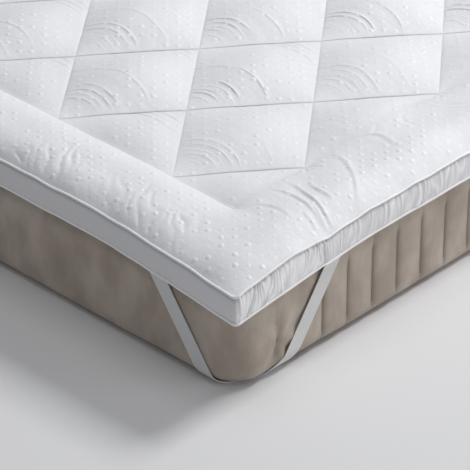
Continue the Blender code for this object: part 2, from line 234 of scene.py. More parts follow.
def near_seam(a, b):
    """1 on the seam, falling to 0 where its waves have died out."""
    return smooth(1.0 - from_seam(a, b) / SEAM_WAVE_REACH)


def seam_wave(a, b, wave):
    height, along_x, along_y = wave
    return height * (noise_line(a, *along_x) + noise_line(b, *along_y))


def on_right(a):
    return a > HALF_X - SEAM_WAVE_REACH


def past_join(b):
    """How far past the seam that closes the band, on the right side near the foot."""
    return b + HALF_Y - JOIN_FROM_CORNER


def join_pinch(a, b):
    return JOIN_PINCH * hill(past_join(b), JOIN_REACH) * on_right(a)


def join_step(a, b):
    past = past_join(b)
    return JOIN_STEP * (past > -SAME_POINT) * np.exp(-past / JOIN_STEP_REACH) * on_right(a)


def strap_pull(a, b):
    on_end = hill(inside_x(a) - STRAP_HEAD_END, STRAP_REACH) * (inside_y(b) < SEAM_WAVE_REACH)
    on_long = hill(inside_y(b) - STRAP_HEAD_LONG, STRAP_REACH) * (inside_x(a) < SEAM_WAVE_REACH)
    return STRAP_PULL * np.maximum(on_end, on_long)


def seam_arch(a, b):
    share = np.clip((b + HALF_Y) / JOIN_FROM_CORNER, 0.0, 1.0)
    return SEAM_ARCH * np.sin(math.pi * share) ** 0.8 * smooth(1.0 - (HALF_X - a) / ARCH_REACH)


def top_seam_lift(a, b):
    return seam_wave(a, b, TOP_WAVE) - join_pinch(a, b) - 0.5 * strap_pull(a, b)


def top_seam(a, b):
    """Height of the top seam above the underside."""
    return SEAM_HEIGHT + top_seam_lift(a, b) + seam_arch(a, b)


def bottom_seam(a, b):
    """Height of the bottom seam above the underside."""
    return seam_wave(a, b, BOTTOM_WAVE) + join_pinch(a, b) - join_step(a, b) - strap_pull(a, b)


# ---- quilting ----
# Puckers round the foot-side corner of each diamond: radius, half width and height, in metres.
RINGS = (
    (0.044, 0.0025, 0.0013),
    (0.059, 0.0025, 0.0020),
    (0.069, 0.0023, 0.0012),
    (0.081, 0.0028, 0.0026),
    (0.094, 0.0033, 0.0029),
    (0.141, 0.0036, 0.0016),
    (0.268, 0.0026, 0.0017),
    (0.282, 0.0024, 0.0020),
    (0.296, 0.0024, 0.0017),
)
PUCKER_PITCH = 0.034
PUCKER_HEIGHT = 0.00055
PUCKERS_FROM = 0.030  # metres from the diamond's foot-side corner
PUCKERS_TO = 0.190
PUCKERS_FADE_IN = 0.030
PUCKERS_FADE_OUT = 0.070
PUCKERS_OFF_STITCH = 0.016
PUCKER_CHANCE = 804.0  # sets which diamonds have the strongest puckers


def line_distance(value):
    return abs(value % 2.0 - 1.0)


def in_diamonds(a, b):
    """Half diamonds across and along, and the whole-number column and row of the diamond."""
    across = (a + FIELD_X) / HALF_DIAMOND_X
    along = (b + FIELD_Y) / HALF_DIAMOND_Y
    return across, along, np.rint((across + along) / 2.0), np.rint((across - along) / 2.0)


def to_stitching(a, b):
    """Metres to the nearest diagonal stitched line."""
    across, along, _, _ = in_diamonds(a, b)
    nearest = np.minimum(line_distance(across + along), line_distance(across - along))
    return nearest * HALF_DIAMOND_X * HALF_DIAMOND_Y / math.hypot(HALF_DIAMOND_X, HALF_DIAMOND_Y)


def diamond_fullness(a, b):
    across, along, column, row = in_diamonds(a, b)
    full = np.sin(line_distance(across + along) * math.pi / 2.0)
    full = full * np.sin(line_distance(across - along) * math.pi / 2.0)
    uneven = 1.0 + UNEVEN * np.sin(UNEVEN_COLUMN * column + UNEVEN_ROW * row * row)
    full = np.maximum(full, 0.0)
    return uneven * mix(full, full**PUFF_POWER, PUFF_STEEP)


def fold_profile(distance, width):
    """A soft ridge with a shallower trough on its inner side."""
    return hill(distance, width) - 0.6 * hill(distance + 1.7 * width, 1.1 * width)


def from_foot_corner(a, b, column, row):
    """Where a point lies from the foot-side corner of the diamond in this column and row."""
    from_a = a + FIELD_X - (column + row) * HALF_DIAMOND_X
    from_b = b + FIELD_Y - (column - row - 1.0) * HALF_DIAMOND_Y
    return from_a, from_b


def broad_puckers(a, b):
    """The wide waves that the fine puckers of the cloth lie on."""
    _, _, column, row = in_diamonds(a, b)
    from_a, from_b = from_foot_corner(a, b, column, row)
    distance = np.hypot(from_a, from_b)
    chance = hashed(column, row, 5.0)
    wave = np.sin(2.0 * math.pi * distance / PUCKER_PITCH + 6.0 * chance)
    reach = smooth((distance - PUCKERS_FROM) / PUCKERS_FADE_IN)
    reach = reach * smooth((PUCKERS_TO - distance) / PUCKERS_FADE_OUT)
    off_stitch = smooth(to_stitching(a, b) / PUCKERS_OFF_STITCH)
    return PUCKER_HEIGHT * mix(0.5, 1.2, chance) * wave * reach * off_stitch


def trough(distance, depth):
    return 1.0 - depth * np.exp(-distance / BORDER_STITCH_WIDTH)


def near_field(a, b):
    """The nearest point of the quilted field."""
    return np.clip(a, -FIELD_X, FIELD_X), np.clip(b, -FIELD_Y, FIELD_Y)


def fullness(a, b):
    near_a, near_b = near_field(a, b)
    inner = diamond_fullness(near_a, near_b)
    inner = inner * trough(FIELD_Y - abs(near_b), END_STITCH)
    inner = inner * trough(FIELD_X - abs(near_a), LONG_STITCH)
    outside = np.hypot(a - near_a, b - near_b)
    lumps = np.sin(a / LUMP_X + LUMP_START[0]) + np.sin(b / LUMP_Y + LUMP_START[1])
    lumpy = 1.0 + ROLL_UNEVEN * lumps / 2.0 * smooth(2.0 * outside / BORDER)
    return lumpy * trough(outside, 1.0 - inner)


def rise(distance, width):
    left = np.clip(1.0 - distance / width, 0.0, 1.0)
    return 1.0 - left**ROUND_POWER


def round_off_width(a, b):
    """The filling thins out over a greater width at the corners, which the straps pull taut."""
    return mix(CORNER_ROUND_OFF, ROUND_OFF, smooth((from_corner(a, b) - CORNER_THIN) / CORNER_THICKENS))


# ---- folds in the roll ----
# Folds of the long sides' roll round each end of a stitched line: start, bend and end, then the
# ridge's width and height. A point is its distance from the seam and, towards the head, from the
# line's end; every other end on a side mirrors them.
LONG_FOLDS = (
    ((0.138, -0.156), (0.111, -0.126), (0.047, -0.147), 0.0030, 0.0013),
    ((0.141, -0.099), (0.091, -0.082), (0.003, -0.118), 0.0030, 0.0018),
    ((0.135, -0.065), (0.062, -0.081), (0.000, -0.101), 0.0031, 0.0023),
    ((0.103, -0.051), (0.070, -0.061), (0.039, -0.059), 0.0034, 0.0017),
    ((0.060, -0.090), (0.036, -0.100), (0.004, -0.112), 0.0030, 0.0014),
    ((0.052, -0.120), (0.031, -0.123), (0.006, -0.130), 0.0028, 0.0012),
    ((0.148, 0.046), (0.109, 0.061), (0.004, -0.036), 0.0038, 0.0015),
    ((0.142, 0.108), (0.133, 0.157), (0.070, 0.125), 0.0038, 0.0015),
    ((0.147, 0.176), (0.136, 0.189), (0.126, 0.219), 0.0032, 0.0013),
)
CURVE_STEPS = 12
DENT_PITCH = 0.024  # dents across the roll at the foot and the head
DENT_DEPTH = 0.0040
DENT_FROM_CORNER = 0.10
DENT_GROWS = 0.10  # a dent reaches its full depth over this length, away from the corner
DENT_LEAN = 0.70
DENT_WANDER = (0.010, 0.003)
DENT_START = 0.003  # from the seam
DENT_FADES = (0.012, 0.040)  # near the seam, and at the dent's inner end
DENT_END = (0.070, 0.125)  # how far in from the seam a dent ends, the shortest and the longest
DIMPLE_RAYS = 10  # small pleats that run out from the end of a stitched line
DIMPLE_REACH = 0.026
DIMPLE_HEIGHT = 0.0014
STITCH_LENGTH = 0.0045
STITCH_FAR = 0.020  # the straight stitched lines' own value runs out this far from them
LUMP_HEIGHT = 0.0007
LUMPS_ACROSS = (0.023, 0.061)
LUMPS_ALONG = (0.027, 0.047)
FIELD_EDGE = 0.010
HELD_REACH = 0.008  # folds and puckers reach their full height this far from the seam


def curve_through(start, bend, end):
    """Points of a smooth curve that starts towards bend and comes into end from it."""
    steps = np.linspace(0.0, 1.0, CURVE_STEPS + 1)[:, None]
    start, bend, end = (np.array(point) for point in (start, bend, end))
    return (1 - steps) ** 2 * start + 2 * steps * (1 - steps) * bend + steps**2 * end


def along_curve(a, b, curve):
    """Each point's distance from the curve, with its side, and its share of the way along."""
    best = np.full(a.shape, np.inf)
    signed = np.zeros_like(a)
    share = np.zeros_like(a)
    for index, (start, end) in enumerate(zip(curve, curve[1:])):
        way = end - start
        t = np.clip(((a - start[0]) * way[0] + (b - start[1]) * way[1]) / (way @ way), 0.0, 1.0)
        off_a = a - start[0] - t * way[0]
        off_b = b - start[1] - t * way[1]
        distance = np.hypot(off_a, off_b)
        nearer = distance < best
        best = np.where(nearer, distance, best)
        signed = np.where(nearer, np.copysign(distance, way[0] * off_b - way[1] * off_a), signed)
        share = np.where(nearer, (index + t) / CURVE_STEPS, share)
    return signed, share


def fold_height(a, b, fold, place):
    """One fold; place gives a point's pattern position from its distances in the table."""
    *points, width, height = fold
    curve = curve_through(*(place(*point) for point in points))
    low, high = curve.min(0) - 5.0 * width, curve.max(0) + 5.0 * width
    near = (a > low[0]) & (a < high[0]) & (b > low[1]) & (b < high[1])
    signed, share = along_curve(a[near], b[near], curve)
    folded = np.zeros_like(a)
    folded[near] = height * fold_profile(signed, width) * np.sin(share * math.pi) ** 0.6
    return folded


def line_ends():
    """Each end of a stitched line on a long side: the side, its number and its place along."""
    for side in (1, -1):
        for number in range(DIAMONDS_Y):
            yield side, number, (2 * number + 1) * HALF_DIAMOND_Y - FIELD_Y


def long_side_folds(a, b):
    total = np.zeros_like(a)
    for side, number, line_end in line_ends():
        flip = side if number % 2 == 0 else -side

        def place(from_side, offset, side=side, line_end=line_end, flip=flip):
            return side * (HALF_X - from_side), line_end + flip * offset

        for index, fold in enumerate(LONG_FOLDS):
            size = 1.0 if side == 1 and number == 0 else mix(0.3, 1.0, hashed(side, number, index))
            total += size * side * flip * fold_height(a, b, fold, place)
    return total


def dimple_pleats(a, b):
    total = np.zeros_like(a)
    for side, number, line_end in line_ends():
        off_a, off_b = side * a - FIELD_X, b - line_end
        turn = np.arctan2(off_b, off_a)
        rays = np.cos(DIMPLE_RAYS * turn + 2.0 * np.sin(2.0 * turn + number))
        rays = rays * smooth(1.2 - abs(turn) / 1.8)
        distance = np.hypot(off_a, off_b)
        total += DIMPLE_HEIGHT * rays * hill(distance - 0.6 * DIMPLE_REACH, 0.4 * DIMPLE_REACH)
    return total


def end_dents(a, b):
    """Dents across the foot's and the head's roll, deepest some way in from the corners."""
    end = np.copysign(1.0, b)
    out = inside_y(b)
    lean = -end * DENT_LEAN + 0.25 * noise_line(a, 0.083, 0.4 + end)
    wander = DENT_WANDER[0] * noise_line(a, 0.071, 1.0 + end)
    wander = wander + DENT_WANDER[1] * np.sin(out / 0.013 + a / 0.019)
    s = a + lean * (out - 0.03) + wander
    ridge = abs(np.sin(math.pi * s / DENT_PITCH)) ** 0.9
    number = np.floor(s / DENT_PITCH)
    depth = mix(0.25, 1.0, hashed(number, end, 3.0)) * smooth(0.65 + 0.9 * noise_line(a, 0.31, 2.0 - end))
    depth = depth * smooth((inside_x(a) - DENT_FROM_CORNER) / DENT_GROWS)
    top_end = mix(*DENT_END, hashed(number, end, 8.0))
    across = smooth((out - DENT_START) / DENT_FADES[0]) * smooth((top_end - out) / DENT_FADES[1])
    broken = 0.65 + 0.35 * np.sin(out / 0.011 + 5.0 * hashed(number, end, 11.0))
    return -DENT_DEPTH * (1.0 - ridge) * depth * across * broken


def soft_unevenness(a, b):
    """The filling's broad lumps, under everything else."""
    across = np.sin(a / LUMPS_ACROSS[0] + 1.7 * np.sin(b / LUMPS_ACROSS[1]))
    along = np.sin(b / LUMPS_ALONG[0] + 1.3 * np.sin(a / LUMPS_ALONG[1]))
    return LUMP_HEIGHT * (across * along)


def quilted_height(a, b):
    """Height of the cover above the underside, folds and puckers included."""
    quilted = mix(VALLEY_HEIGHT, FULL_HEIGHT, fullness(a, b))
    width = round_off_width(a, b)
    roll = rise(inside_x(a), width) * rise(inside_y(b), width)
    in_field = smooth((FIELD_X - abs(a)) / FIELD_EDGE) * smooth((FIELD_Y - abs(b)) / FIELD_EDGE)
    detail = in_field * broad_puckers(a, b) + long_side_folds(a, b) + dimple_pleats(a, b)
    detail = detail + end_dents(a, b) + soft_unevenness(a, b)
    held = smooth(from_seam(a, b) / HELD_REACH)
    lift = top_seam_lift(a, b) * near_seam(a, b)
    return mix(SEAM_HEIGHT + seam_arch(a, b), quilted, roll) + held * detail + lift


def cover_point(a, b, inside=0.0):
    """Where a point of the quilted cover lies, as x, y and z."""
    x, y = topper_plan(a, b, inside)
    return x, y, underside(x, y) + quilted_height(a, b)


# ---- mesh building ----
def new_mesh():
    """A mesh whose points keep two values of their own and the one its material reads."""
    bm = bmesh.new()
    return bm, [bm.verts.layers.float.new(name) for name in ("a", "b", "depth")]


def add_grid(bm, layers, columns, rows):
    """A flat grid, its points' values in the two layers, also given as two arrays."""
    counts = (len(columns) - 1, len(rows) - 1)
    verts = bmesh.ops.create_grid(bm, x_segments=counts[0], y_segments=counts[1], size=1.0)["verts"]
    flat = np.array([vert.co[:2] for vert in verts])
    indices = np.rint((flat + 1.0) / 2.0 * counts).astype(int)
    a = np.asarray(columns)[indices[:, 0]]
    b = np.asarray(rows)[indices[:, 1]]
    for vert, value_a, value_b in zip(verts, a.tolist(), b.tolist()):
        vert[layers[0]] = value_a
        vert[layers[1]] = value_b
    return verts, a, b


def put(verts, x, y, z):
    for vert, place in zip(verts, np.stack((x, y, z), axis=1).tolist()):
        vert.co = place


def shade(verts, layers, depth):
    """What the material reads: where the stitching is, or painted light and shade on ridges, creases and
    seams.
    """
    for vert, value in zip(verts, np.clip(depth, 0.0, 1.0).tolist()):
        vert[layers[2]] = value


def kept_values(verts, layers):
    return [np.array([vert[layer] for vert in verts]) for layer in layers[:2]]


def rim_of(verts):
    return list({edge for vert in verts for edge in vert.link_edges if edge.is_boundary})


def next_loop(bm, layers, edges, place):
    """The loop of edges extruded once, its new points put where place says for their a and b."""
    made = bmesh.ops.extrude_edge_only(bm, edges=edges)["geom"]
    verts = [item for item in made if isinstance(item, bmesh.types.BMVert)]
    put(verts, *place(*kept_values(verts, layers)))
    return [item for item in made if isinstance(item, bmesh.types.BMEdge)]


def close(bm):
    """The mesh made one closed shell that faces outward."""
    bmesh.ops.remove_doubles(bm, verts=list(bm.verts), dist=SAME_POINT)
    bmesh.ops.holes_fill(bm, edges=[edge for edge in bm.edges if edge.is_boundary], sides=0)
    bmesh.ops.recalc_face_normals(bm, faces=list(bm.faces))


def as_mesh(name, bm):
    mesh = bpy.data.meshes.new(name)
    bm.to_mesh(mesh)
    bm.free()
    return mesh


def link(name, data):
    """A new object at the origin."""
    made = bpy.data.objects.new(name, data)
    bpy.context.scene.collection.objects.link(made)
    return made


def finished(name, mesh, material, replaces=()):
    """A piece of the object from its mesh, riding on the one body."""
    mesh.shade_smooth()
    mesh.set_sharp_from_angle(angle=SHARP_EDGE)
    mesh.materials.append(material)
    piece = link(name, mesh)
    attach(piece, "root")
    if replaces:
        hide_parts(*replaces)
    return piece


# ---- materials ----
WEAVE_PITCH = 0.0012
WEAVE_HEIGHT = 0.00006
CRUMPLE_HEIGHT = 0.0011
GROOVE_WIDTH = 0.0015
GROOVE_DEPTH = 0.0017
THREAD_WIDTH = 0.0011
THREAD_HEIGHT = 0.0005
BORDER_CRISP = 0.35  # how sharp the straight stitched lines are, against 1 for the sharpest
COTTON_THREADS = (900.0, 0.00015)  # scale of the noise and height of the relief
ELASTIC_CORDS = (0.0022, 0.00020)  # pitch and height
ELASTIC_WEFTS = (0.0011, 0.00010)
DIAMOND_SEED = 40.0  # sets the diamonds' puckers apart
WANDER_SCALE = 11.0
WANDER = 0.012  # a ring pucker strays over this width
RING_SIZE = (0.42, 0.58)  # of the rings: the share that differs from diamond to diamond, and the rest
PATCHES = (1.3, 34.0)  # how close together patches of puckers are, round the corner and away from it
PATCH_EDGE = (0.33, 0.58)
PUCKER_START = 0.40  # puckers are at full strength from here, 0 being one stitched line and 2 the next
STRONG_FEW = 1.8  # the higher, the fewer diamonds have strong puckers
CRISP_DROP = 0.75  # the stitched lines that run one way are this much softer
# The two groove values below are painted shade in the stitched grooves: its strongest share, and its colour.
GROOVE_SHADE_SHARE = 0.45
QUILT_TONES = ((0.825, 0.826, 0.850), (0.860, 0.860, 0.882))
GROOVE_SHADE_TONE = (0.52, 0.53, 0.58)
# The gusset cloth's two tones: full painted shade and full painted highlight.
GUSSET_TONES = ((0.50, 0.498, 0.530), (0.97, 0.965, 0.975))
# The piping is painted lighter than the cover, a painted highlight along the cords.
PIPING_HIGHLIGHT_TONE = (0.965, 0.966, 0.975)
# The raised dots are painted lighter than the quilted cloth, a painted highlight on them.
DOT_HIGHLIGHT_TONE = (0.895, 0.895, 0.915)
ELASTIC_TONES = ((0.685, 0.683, 0.678), (0.80, 0.797, 0.79))
MATTRESS_TONES = ((0.385, 0.320, 0.263), (0.525, 0.452, 0.389))
# Colour of the painted shade in the mattress's channel seams and pinched tufts.
MATTRESS_SEAM_SHADE = (0.14, 0.108, 0.078)
FLOOR_TONES = ((0.77, 0.77, 0.78), (0.79, 0.79, 0.80))
SKY_TONE = (0.95, 0.97, 1.0, 1.0)


def add_node(tree, kind, settings=None, **inputs):
    """A shader node; an input is a value or the output of another node. Spaces in names are _."""
    made = tree.nodes.new(kind)
    for key, value in (settings or {}).items():
        setattr(made, key, value)
    for key, value in inputs.items():
        name = key.replace("_", " ")
        socket = made.inputs[int(key[1:])] if key[0] == "i" and key[1:].isdigit() else made.inputs[name]
        if isinstance(value, bpy.types.NodeSocket):
            tree.links.new(value, socket)
        else:
            socket.default_value = value
    return made


def math_node(tree, operation, first, second=0.0, third=0.5):
    settings = {"operation": operation}
    return add_node(tree, "ShaderNodeMath", settings, i0=first, i1=second, i2=third).outputs[0]


def product(tree, *values):
    return functools.reduce(lambda first, second: math_node(tree, "MULTIPLY", first, second), values)


def total(tree, *values):
    return functools.reduce(lambda first, second: math_node(tree, "ADD", first, second), values)


def one_minus(tree, value):
    return math_node(tree, "SUBTRACT", 1.0, value)


def vector_node(tree, operation, first, second=(0.0, 0.0, 0.0)):
    made = add_node(tree, "ShaderNodeVectorMath", {"operation": operation}, i0=first, i1=second)
    return made.outputs["Value" if operation in ("DOT_PRODUCT", "LENGTH") else "Vector"]


def axes(tree, vector):
    return add_node(tree, "ShaderNodeSeparateXYZ", Vector=vector).outputs


def object_place(tree):
    return add_node(tree, "ShaderNodeTexCoord").outputs["Object"]


def uv_map(tree, name):
    return add_node(tree, "ShaderNodeUVMap", {"uv_map": name}).outputs[0]


def attribute(tree, name):
    return add_node(tree, "ShaderNodeAttribute", {"attribute_name": name}).outputs["Fac"]


def noise(tree, place, scale, detail=2.0):
    return add_node(tree, "ShaderNodeTexNoise", Vector=place, Scale=scale, Detail=detail).outputs["Fac"]


def mix_values(tree, share, first, second):
    return add_node(tree, "ShaderNodeMix", Factor=share, i2=first, i3=second).outputs[0]


def mix_colours(tree, share, first, second):
    """Between two colours, each three numbers or the output of another node."""
    first, second = ((*value, 1.0) if isinstance(value, tuple) else value for value in (first, second))
    made = add_node(tree, "ShaderNodeMix", {"data_type": "RGBA"}, i0=share, i6=first, i7=second)
    return made.outputs[2]


def soft_step(tree, value, low, high):
    settings = {"interpolation_type": "SMOOTHSTEP"}
    return add_node(tree, "ShaderNodeMapRange", settings, Value=value, From_Min=low, From_Max=high).outputs[0]


def new_material(name, roughness, sheen=0.0, sheen_roughness=0.5):
    material = bpy.data.materials.new(name)
    material.use_nodes = True
    shader = material.node_tree.nodes["Principled BSDF"]
    shader.inputs["Roughness"].default_value = roughness
    shader.inputs["Sheen Weight"].default_value = sheen
    shader.inputs["Sheen Roughness"].default_value = sheen_roughness
    return material, material.node_tree, shader


def paint(tree, shader, share, first, second):
    tree.links.new(mix_colours(tree, share, first, second), shader.inputs["Base Color"])


def add_bump(tree, shader, *heights):
    """Relief on the surface: (height from 0 to 1, depth in metres) for each layer of it."""
    normal = None
    for height, depth in heights:
        bump = add_node(tree, "ShaderNodeBump", Strength=1.0, Distance=depth, Height=height)
        if normal is not None:
            tree.links.new(normal, bump.inputs["Normal"])
        normal = bump.outputs[0]
    tree.links.new(normal, shader.inputs["Normal"])


def thread_wave(tree, value, pitch):
    return math_node(tree, "SINE", product(tree, value, 2.0 * math.pi / pitch))


def ridge(tree, distance, width):
    """1 at no distance, falling softly to nearly 0 within three times the width."""
    share = product(tree, distance, 1.0 / width)
    near = math_node(tree, "DIVIDE", 1.0, math_node(tree, "MULTIPLY_ADD", share, share, 1.0))
    return product(tree, near, near)


def ring_relief(tree, radius):
    """Height of the ring puckers at this distance from their corner, three rings at a time."""
    heights = []
    radii = add_node(tree, "ShaderNodeCombineXYZ", X=radius, Y=radius, Z=radius).outputs[0]
    for first in range(0, len(RINGS), 3):
        ring_radii, widths, ring_heights = zip(*RINGS[first : first + 3])
        away = vector_node(tree, "SUBTRACT", radii, ring_radii)
        share = vector_node(tree, "MULTIPLY", away, tuple(1.0 / width for width in widths))
        spread = vector_node(tree, "ADD", vector_node(tree, "MULTIPLY", share, share), (1.0, 1.0, 1.0))
        near = vector_node(tree, "DIVIDE", (1.0, 1.0, 1.0), spread)
        sharp = vector_node(tree, "MULTIPLY", near, near)
        heights.append(vector_node(tree, "DOT_PRODUCT", sharp, ring_heights))
    return total(tree, *heights)


def quilted_material():
    """White cotton whose own relief is the fine puckers, the sewn groove, its stitches and the weave."""
    material, tree, shader = new_material("quilted_cloth", 0.72, 0.12, 0.45)
    place = object_place(tree)
    diamond = uv_map(tree, "diamond")
    number = attribute(tree, "number")
    straight = attribute(tree, "depth")

    # Across and along each diamond's sides, from 0 on one stitched line to 2 on the next.
    slopes = [(sign / HALF_DIAMOND_X, 1.0 / HALF_DIAMOND_Y, 0.0) for sign in (1.0, -1.0)]
    rising, falling = (vector_node(tree, "DOT_PRODUCT", diamond, slope) for slope in slopes)
    off_middle = [math_node(tree, "SUBTRACT", value, 1.0) for value in (rising, falling)]
    inside = [one_minus(tree, math_node(tree, "ABSOLUTE", value)) for value in off_middle]
    side_length = math.hypot(HALF_DIAMOND_X, HALF_DIAMOND_Y)
    to_side = HALF_DIAMOND_X * HALF_DIAMOND_Y / side_length
    to_diagonal = product(tree, math_node(tree, "MINIMUM", *inside), to_side)
    to_straight = product(tree, one_minus(tree, straight), STITCH_FAR)
    to_line = math_node(tree, "MINIMUM", to_diagonal, to_straight)

    # Fine puckers, broken up and wandering, different in each diamond.
    seed = product(tree, number, DIAMOND_SEED)
    settings = {"noise_dimensions": "4D"}
    wander = add_node(tree, "ShaderNodeTexNoise", settings, Vector=diamond, W=seed, Scale=WANDER_SCALE)
    away = vector_node(tree, "LENGTH", diamond)
    radius = product(tree, away, math_node(tree, "MULTIPLY_ADD", number, *RING_SIZE))
    radius = total(tree, radius, product(tree, wander.outputs["Fac"], WANDER), -WANDER / 2.0)
    across, along, _ = axes(tree, diamond)
    turn = product(tree, math_node(tree, "ARCTAN2", across, along), PATCHES[0])
    outward = product(tree, away, PATCHES[1])
    round_about = add_node(tree, "ShaderNodeCombineXYZ", X=turn, Y=outward, Z=seed).outputs[0]
    strength = product(
        tree,
        soft_step(tree, noise(tree, round_about, 1.0, 1.0), *PATCH_EDGE),
        soft_step(tree, to_line, 0.0, 0.012),
        math_node(tree, "POWER", number, STRONG_FEW),
        soft_step(tree, falling, 0.0, PUCKER_START),
    )
    puckers = product(tree, ring_relief(tree, radius), strength)

    # The groove of the stitching with its thread, and the cloth pinched beside it.
    nearer = math_node(tree, "LESS_THAN", *inside)
    stitches = product(
        tree, mix_values(tree, nearer, rising, falling), side_length / 2.0 * math.pi / STITCH_LENGTH
    )
    stitch = math_node(tree, "ABSOLUTE", math_node(tree, "SINE", stitches))
    thread = product(tree, ridge(tree, to_line, THREAD_WIDTH), stitch, THREAD_HEIGHT)
    groove = ridge(tree, to_line, GROOVE_WIDTH)
    crisp = one_minus(tree, product(tree, nearer, CRISP_DROP))
    on_border = math_node(tree, "LESS_THAN", to_straight, to_diagonal)
    crisp = mix_values(tree, on_border, crisp, BORDER_CRISP)
    sewn = product(tree, total(tree, product(tree, groove, -GROOVE_DEPTH), thread), crisp)

    crumple = product(tree, noise(tree, place, 60.0), CRUMPLE_HEIGHT)
    crossed = product(tree, *(thread_wave(tree, axis, WEAVE_PITCH) for axis in axes(tree, place)[:2]))
    weave = product(tree, math_node(tree, "MULTIPLY_ADD", crossed, 0.5), WEAVE_HEIGHT)
    add_bump(tree, shader, (total(tree, puckers, sewn, crumple, weave), 1.0))

    plain = mix_colours(tree, noise(tree, place, 9.0, 3.0), *QUILT_TONES)
    # Painted shade: the cloth is darkened towards bluish grey in the stitched grooves, the more the crisper
    # they are.
    paint(tree, shader, product(tree, groove, crisp, GROOVE_SHADE_SHARE), plain, GROOVE_SHADE_TONE)
    return material


def cotton_material(name, roughness, pale, dark=None):
    """Cotton of uneven tone or, where dark is given, with the painted light and shade its depth value says.
    """
    material, tree, shader = new_material(name, roughness, 0.10)
    place = object_place(tree)
    share = attribute(tree, "depth") if dark else noise(tree, place, 22.0, 3.0)
    paint(tree, shader, share, dark or tuple(0.95 * value for value in pale), pale)
    scale, height = COTTON_THREADS
    add_bump(tree, shader, (noise(tree, place, scale, 1.0), height))
    return material


def elastic_material():
    """Woven elastic: cords along it, close wefts across, on the strip's own map."""
    material, tree, shader = new_material("elastic", 0.62, 0.05)
    along, across, _ = axes(tree, uv_map(tree, "cloth"))
    layers = []
    for value, (pitch, height) in ((across, ELASTIC_CORDS), (along, ELASTIC_WEFTS)):
        layers.append((math_node(tree, "MULTIPLY_ADD", thread_wave(tree, value, pitch), 0.5), height))
    paint(tree, shader, layers[0][0], *ELASTIC_TONES)
    add_bump(tree, shader, *layers)
    return material


def mattress_material():
    material, tree, shader = new_material("mattress_cloth", 0.88, 0.20)
    place = object_place(tree)
    upright = vector_node(tree, "MULTIPLY", place, (1.0, 1.0, 0.60))
    tone = soft_step(tree, noise(tree, upright, 17.0, 5.0), 0.32, 0.68)
    plain = mix_colours(tree, tone, *MATTRESS_TONES)
    # Painted shade darkens the channels' seams and the pinched tufts.
    paint(tree, shader, attribute(tree, "depth"), plain, MATTRESS_SEAM_SHADE)
    add_bump(tree, shader, (tone, 0.0009), (noise(tree, place, 420.0), 0.00025))
    return material


# ---- the quilted pad ----
CELLS = 17  # mesh cells along half a diamond, before the fine places are cut smaller
RIM_STEPS = (0.0, 0.0012, 0.0030, 0.0055, 0.0085, 0.0120, 0.0160, 0.0205, 0.0255, 0.0305)
RIM_CELL = 0.0078
UNDER_INSETS = (0.04, 0.09, 0.15, 0.22, 0.30)
FOLD_SEEN = 0.00012  # relief above this is given a finer mesh
FINE_BESIDE = 0.010  # and so is the cloth this near to the stitching
FINEST_BESIDE = 0.0022
FINEST_TO = -0.35  # folds have the finest mesh only from here to the foot, which the photo shows
PAD_TO_BAND = 0.0012  # from the band's outer face to the pad, half way up


def pattern_lines(half, field, diamonds):
    """Positions of the cover's mesh lines, across the roll, the field and the roll."""
    even = int(round((half - field - RIM_STEPS[-1]) / RIM_CELL))
    steps = list(RIM_STEPS) + list(np.linspace(RIM_STEPS[-1], half - field, even + 1)[1:-1])
    cells = 2 * diamonds * CELLS
    quilted = np.linspace(-field, field, cells + 1)
    low = -half + np.array(steps)
    return np.concatenate((low, quilted, -low[::-1]))


def near_stitches(a, b, width):
    in_field = (abs(a) < FIELD_X + width) & (abs(b) < FIELD_Y + width)
    at_end = (abs(a) < FIELD_X + width) & (abs(abs(b) - FIELD_Y) < width)
    return in_field & (to_stitching(a, b) < width) | at_end


def fine_places(a, b):
    """Where the mesh must follow stitched lines, folds and dents."""
    reliefs = (long_side_folds(a, b), end_dents(a, b), dimple_pleats(a, b))
    return near_stitches(a, b, FINE_BESIDE) | (abs(np.array(reliefs)) > FOLD_SEEN).any(0)


def finest_places(a, b):
    folded = abs(long_side_folds(a, b) + dimple_pleats(a, b)) > 2.0 * FOLD_SEEN
    return folded & (a > 0.0) & (b < FINEST_TO) | near_stitches(a, b, FINEST_BESIDE)


def middle(face, layers):
    """The middle of a cell, as a and b."""
    return [sum(vert[layer] for vert in face.verts) / len(face.verts) for layer in layers[:2]]


def cut_smaller(bm, layers, wanted):
    """The cells in the wanted places cut in four, their new points given their own a and b."""
    chosen = wanted(*np.array([middle(face, layers) for face in bm.faces]).T)
    edges = {edge for face, cut in zip(bm.faces, chosen.tolist()) if cut for edge in face.edges}
    bmesh.ops.subdivide_edges(bm, edges=list(edges), cuts=1, use_grid_fill=True)


def split_along_stitches(bm, layers):
    """Each four-sided cell cut in two along the way its nearest stitched line runs."""
    for face in [face for face in bm.faces if len(face.verts) == 4]:
        across, along, _, _ = in_diamonds(*middle(face, layers))
        rising = (math.floor(across) + math.floor(along)) % 2 == 1
        corners = face.verts
        step_a, step_b = (corners[2][layer] - corners[0][layer] for layer in layers[:2])
        first = 0 if (step_a * step_b > 0.0) == rising else 1
        bmesh.utils.face_split(face, corners[first], corners[first + 2])
    bmesh.ops.triangulate(bm, faces=list(bm.faces))


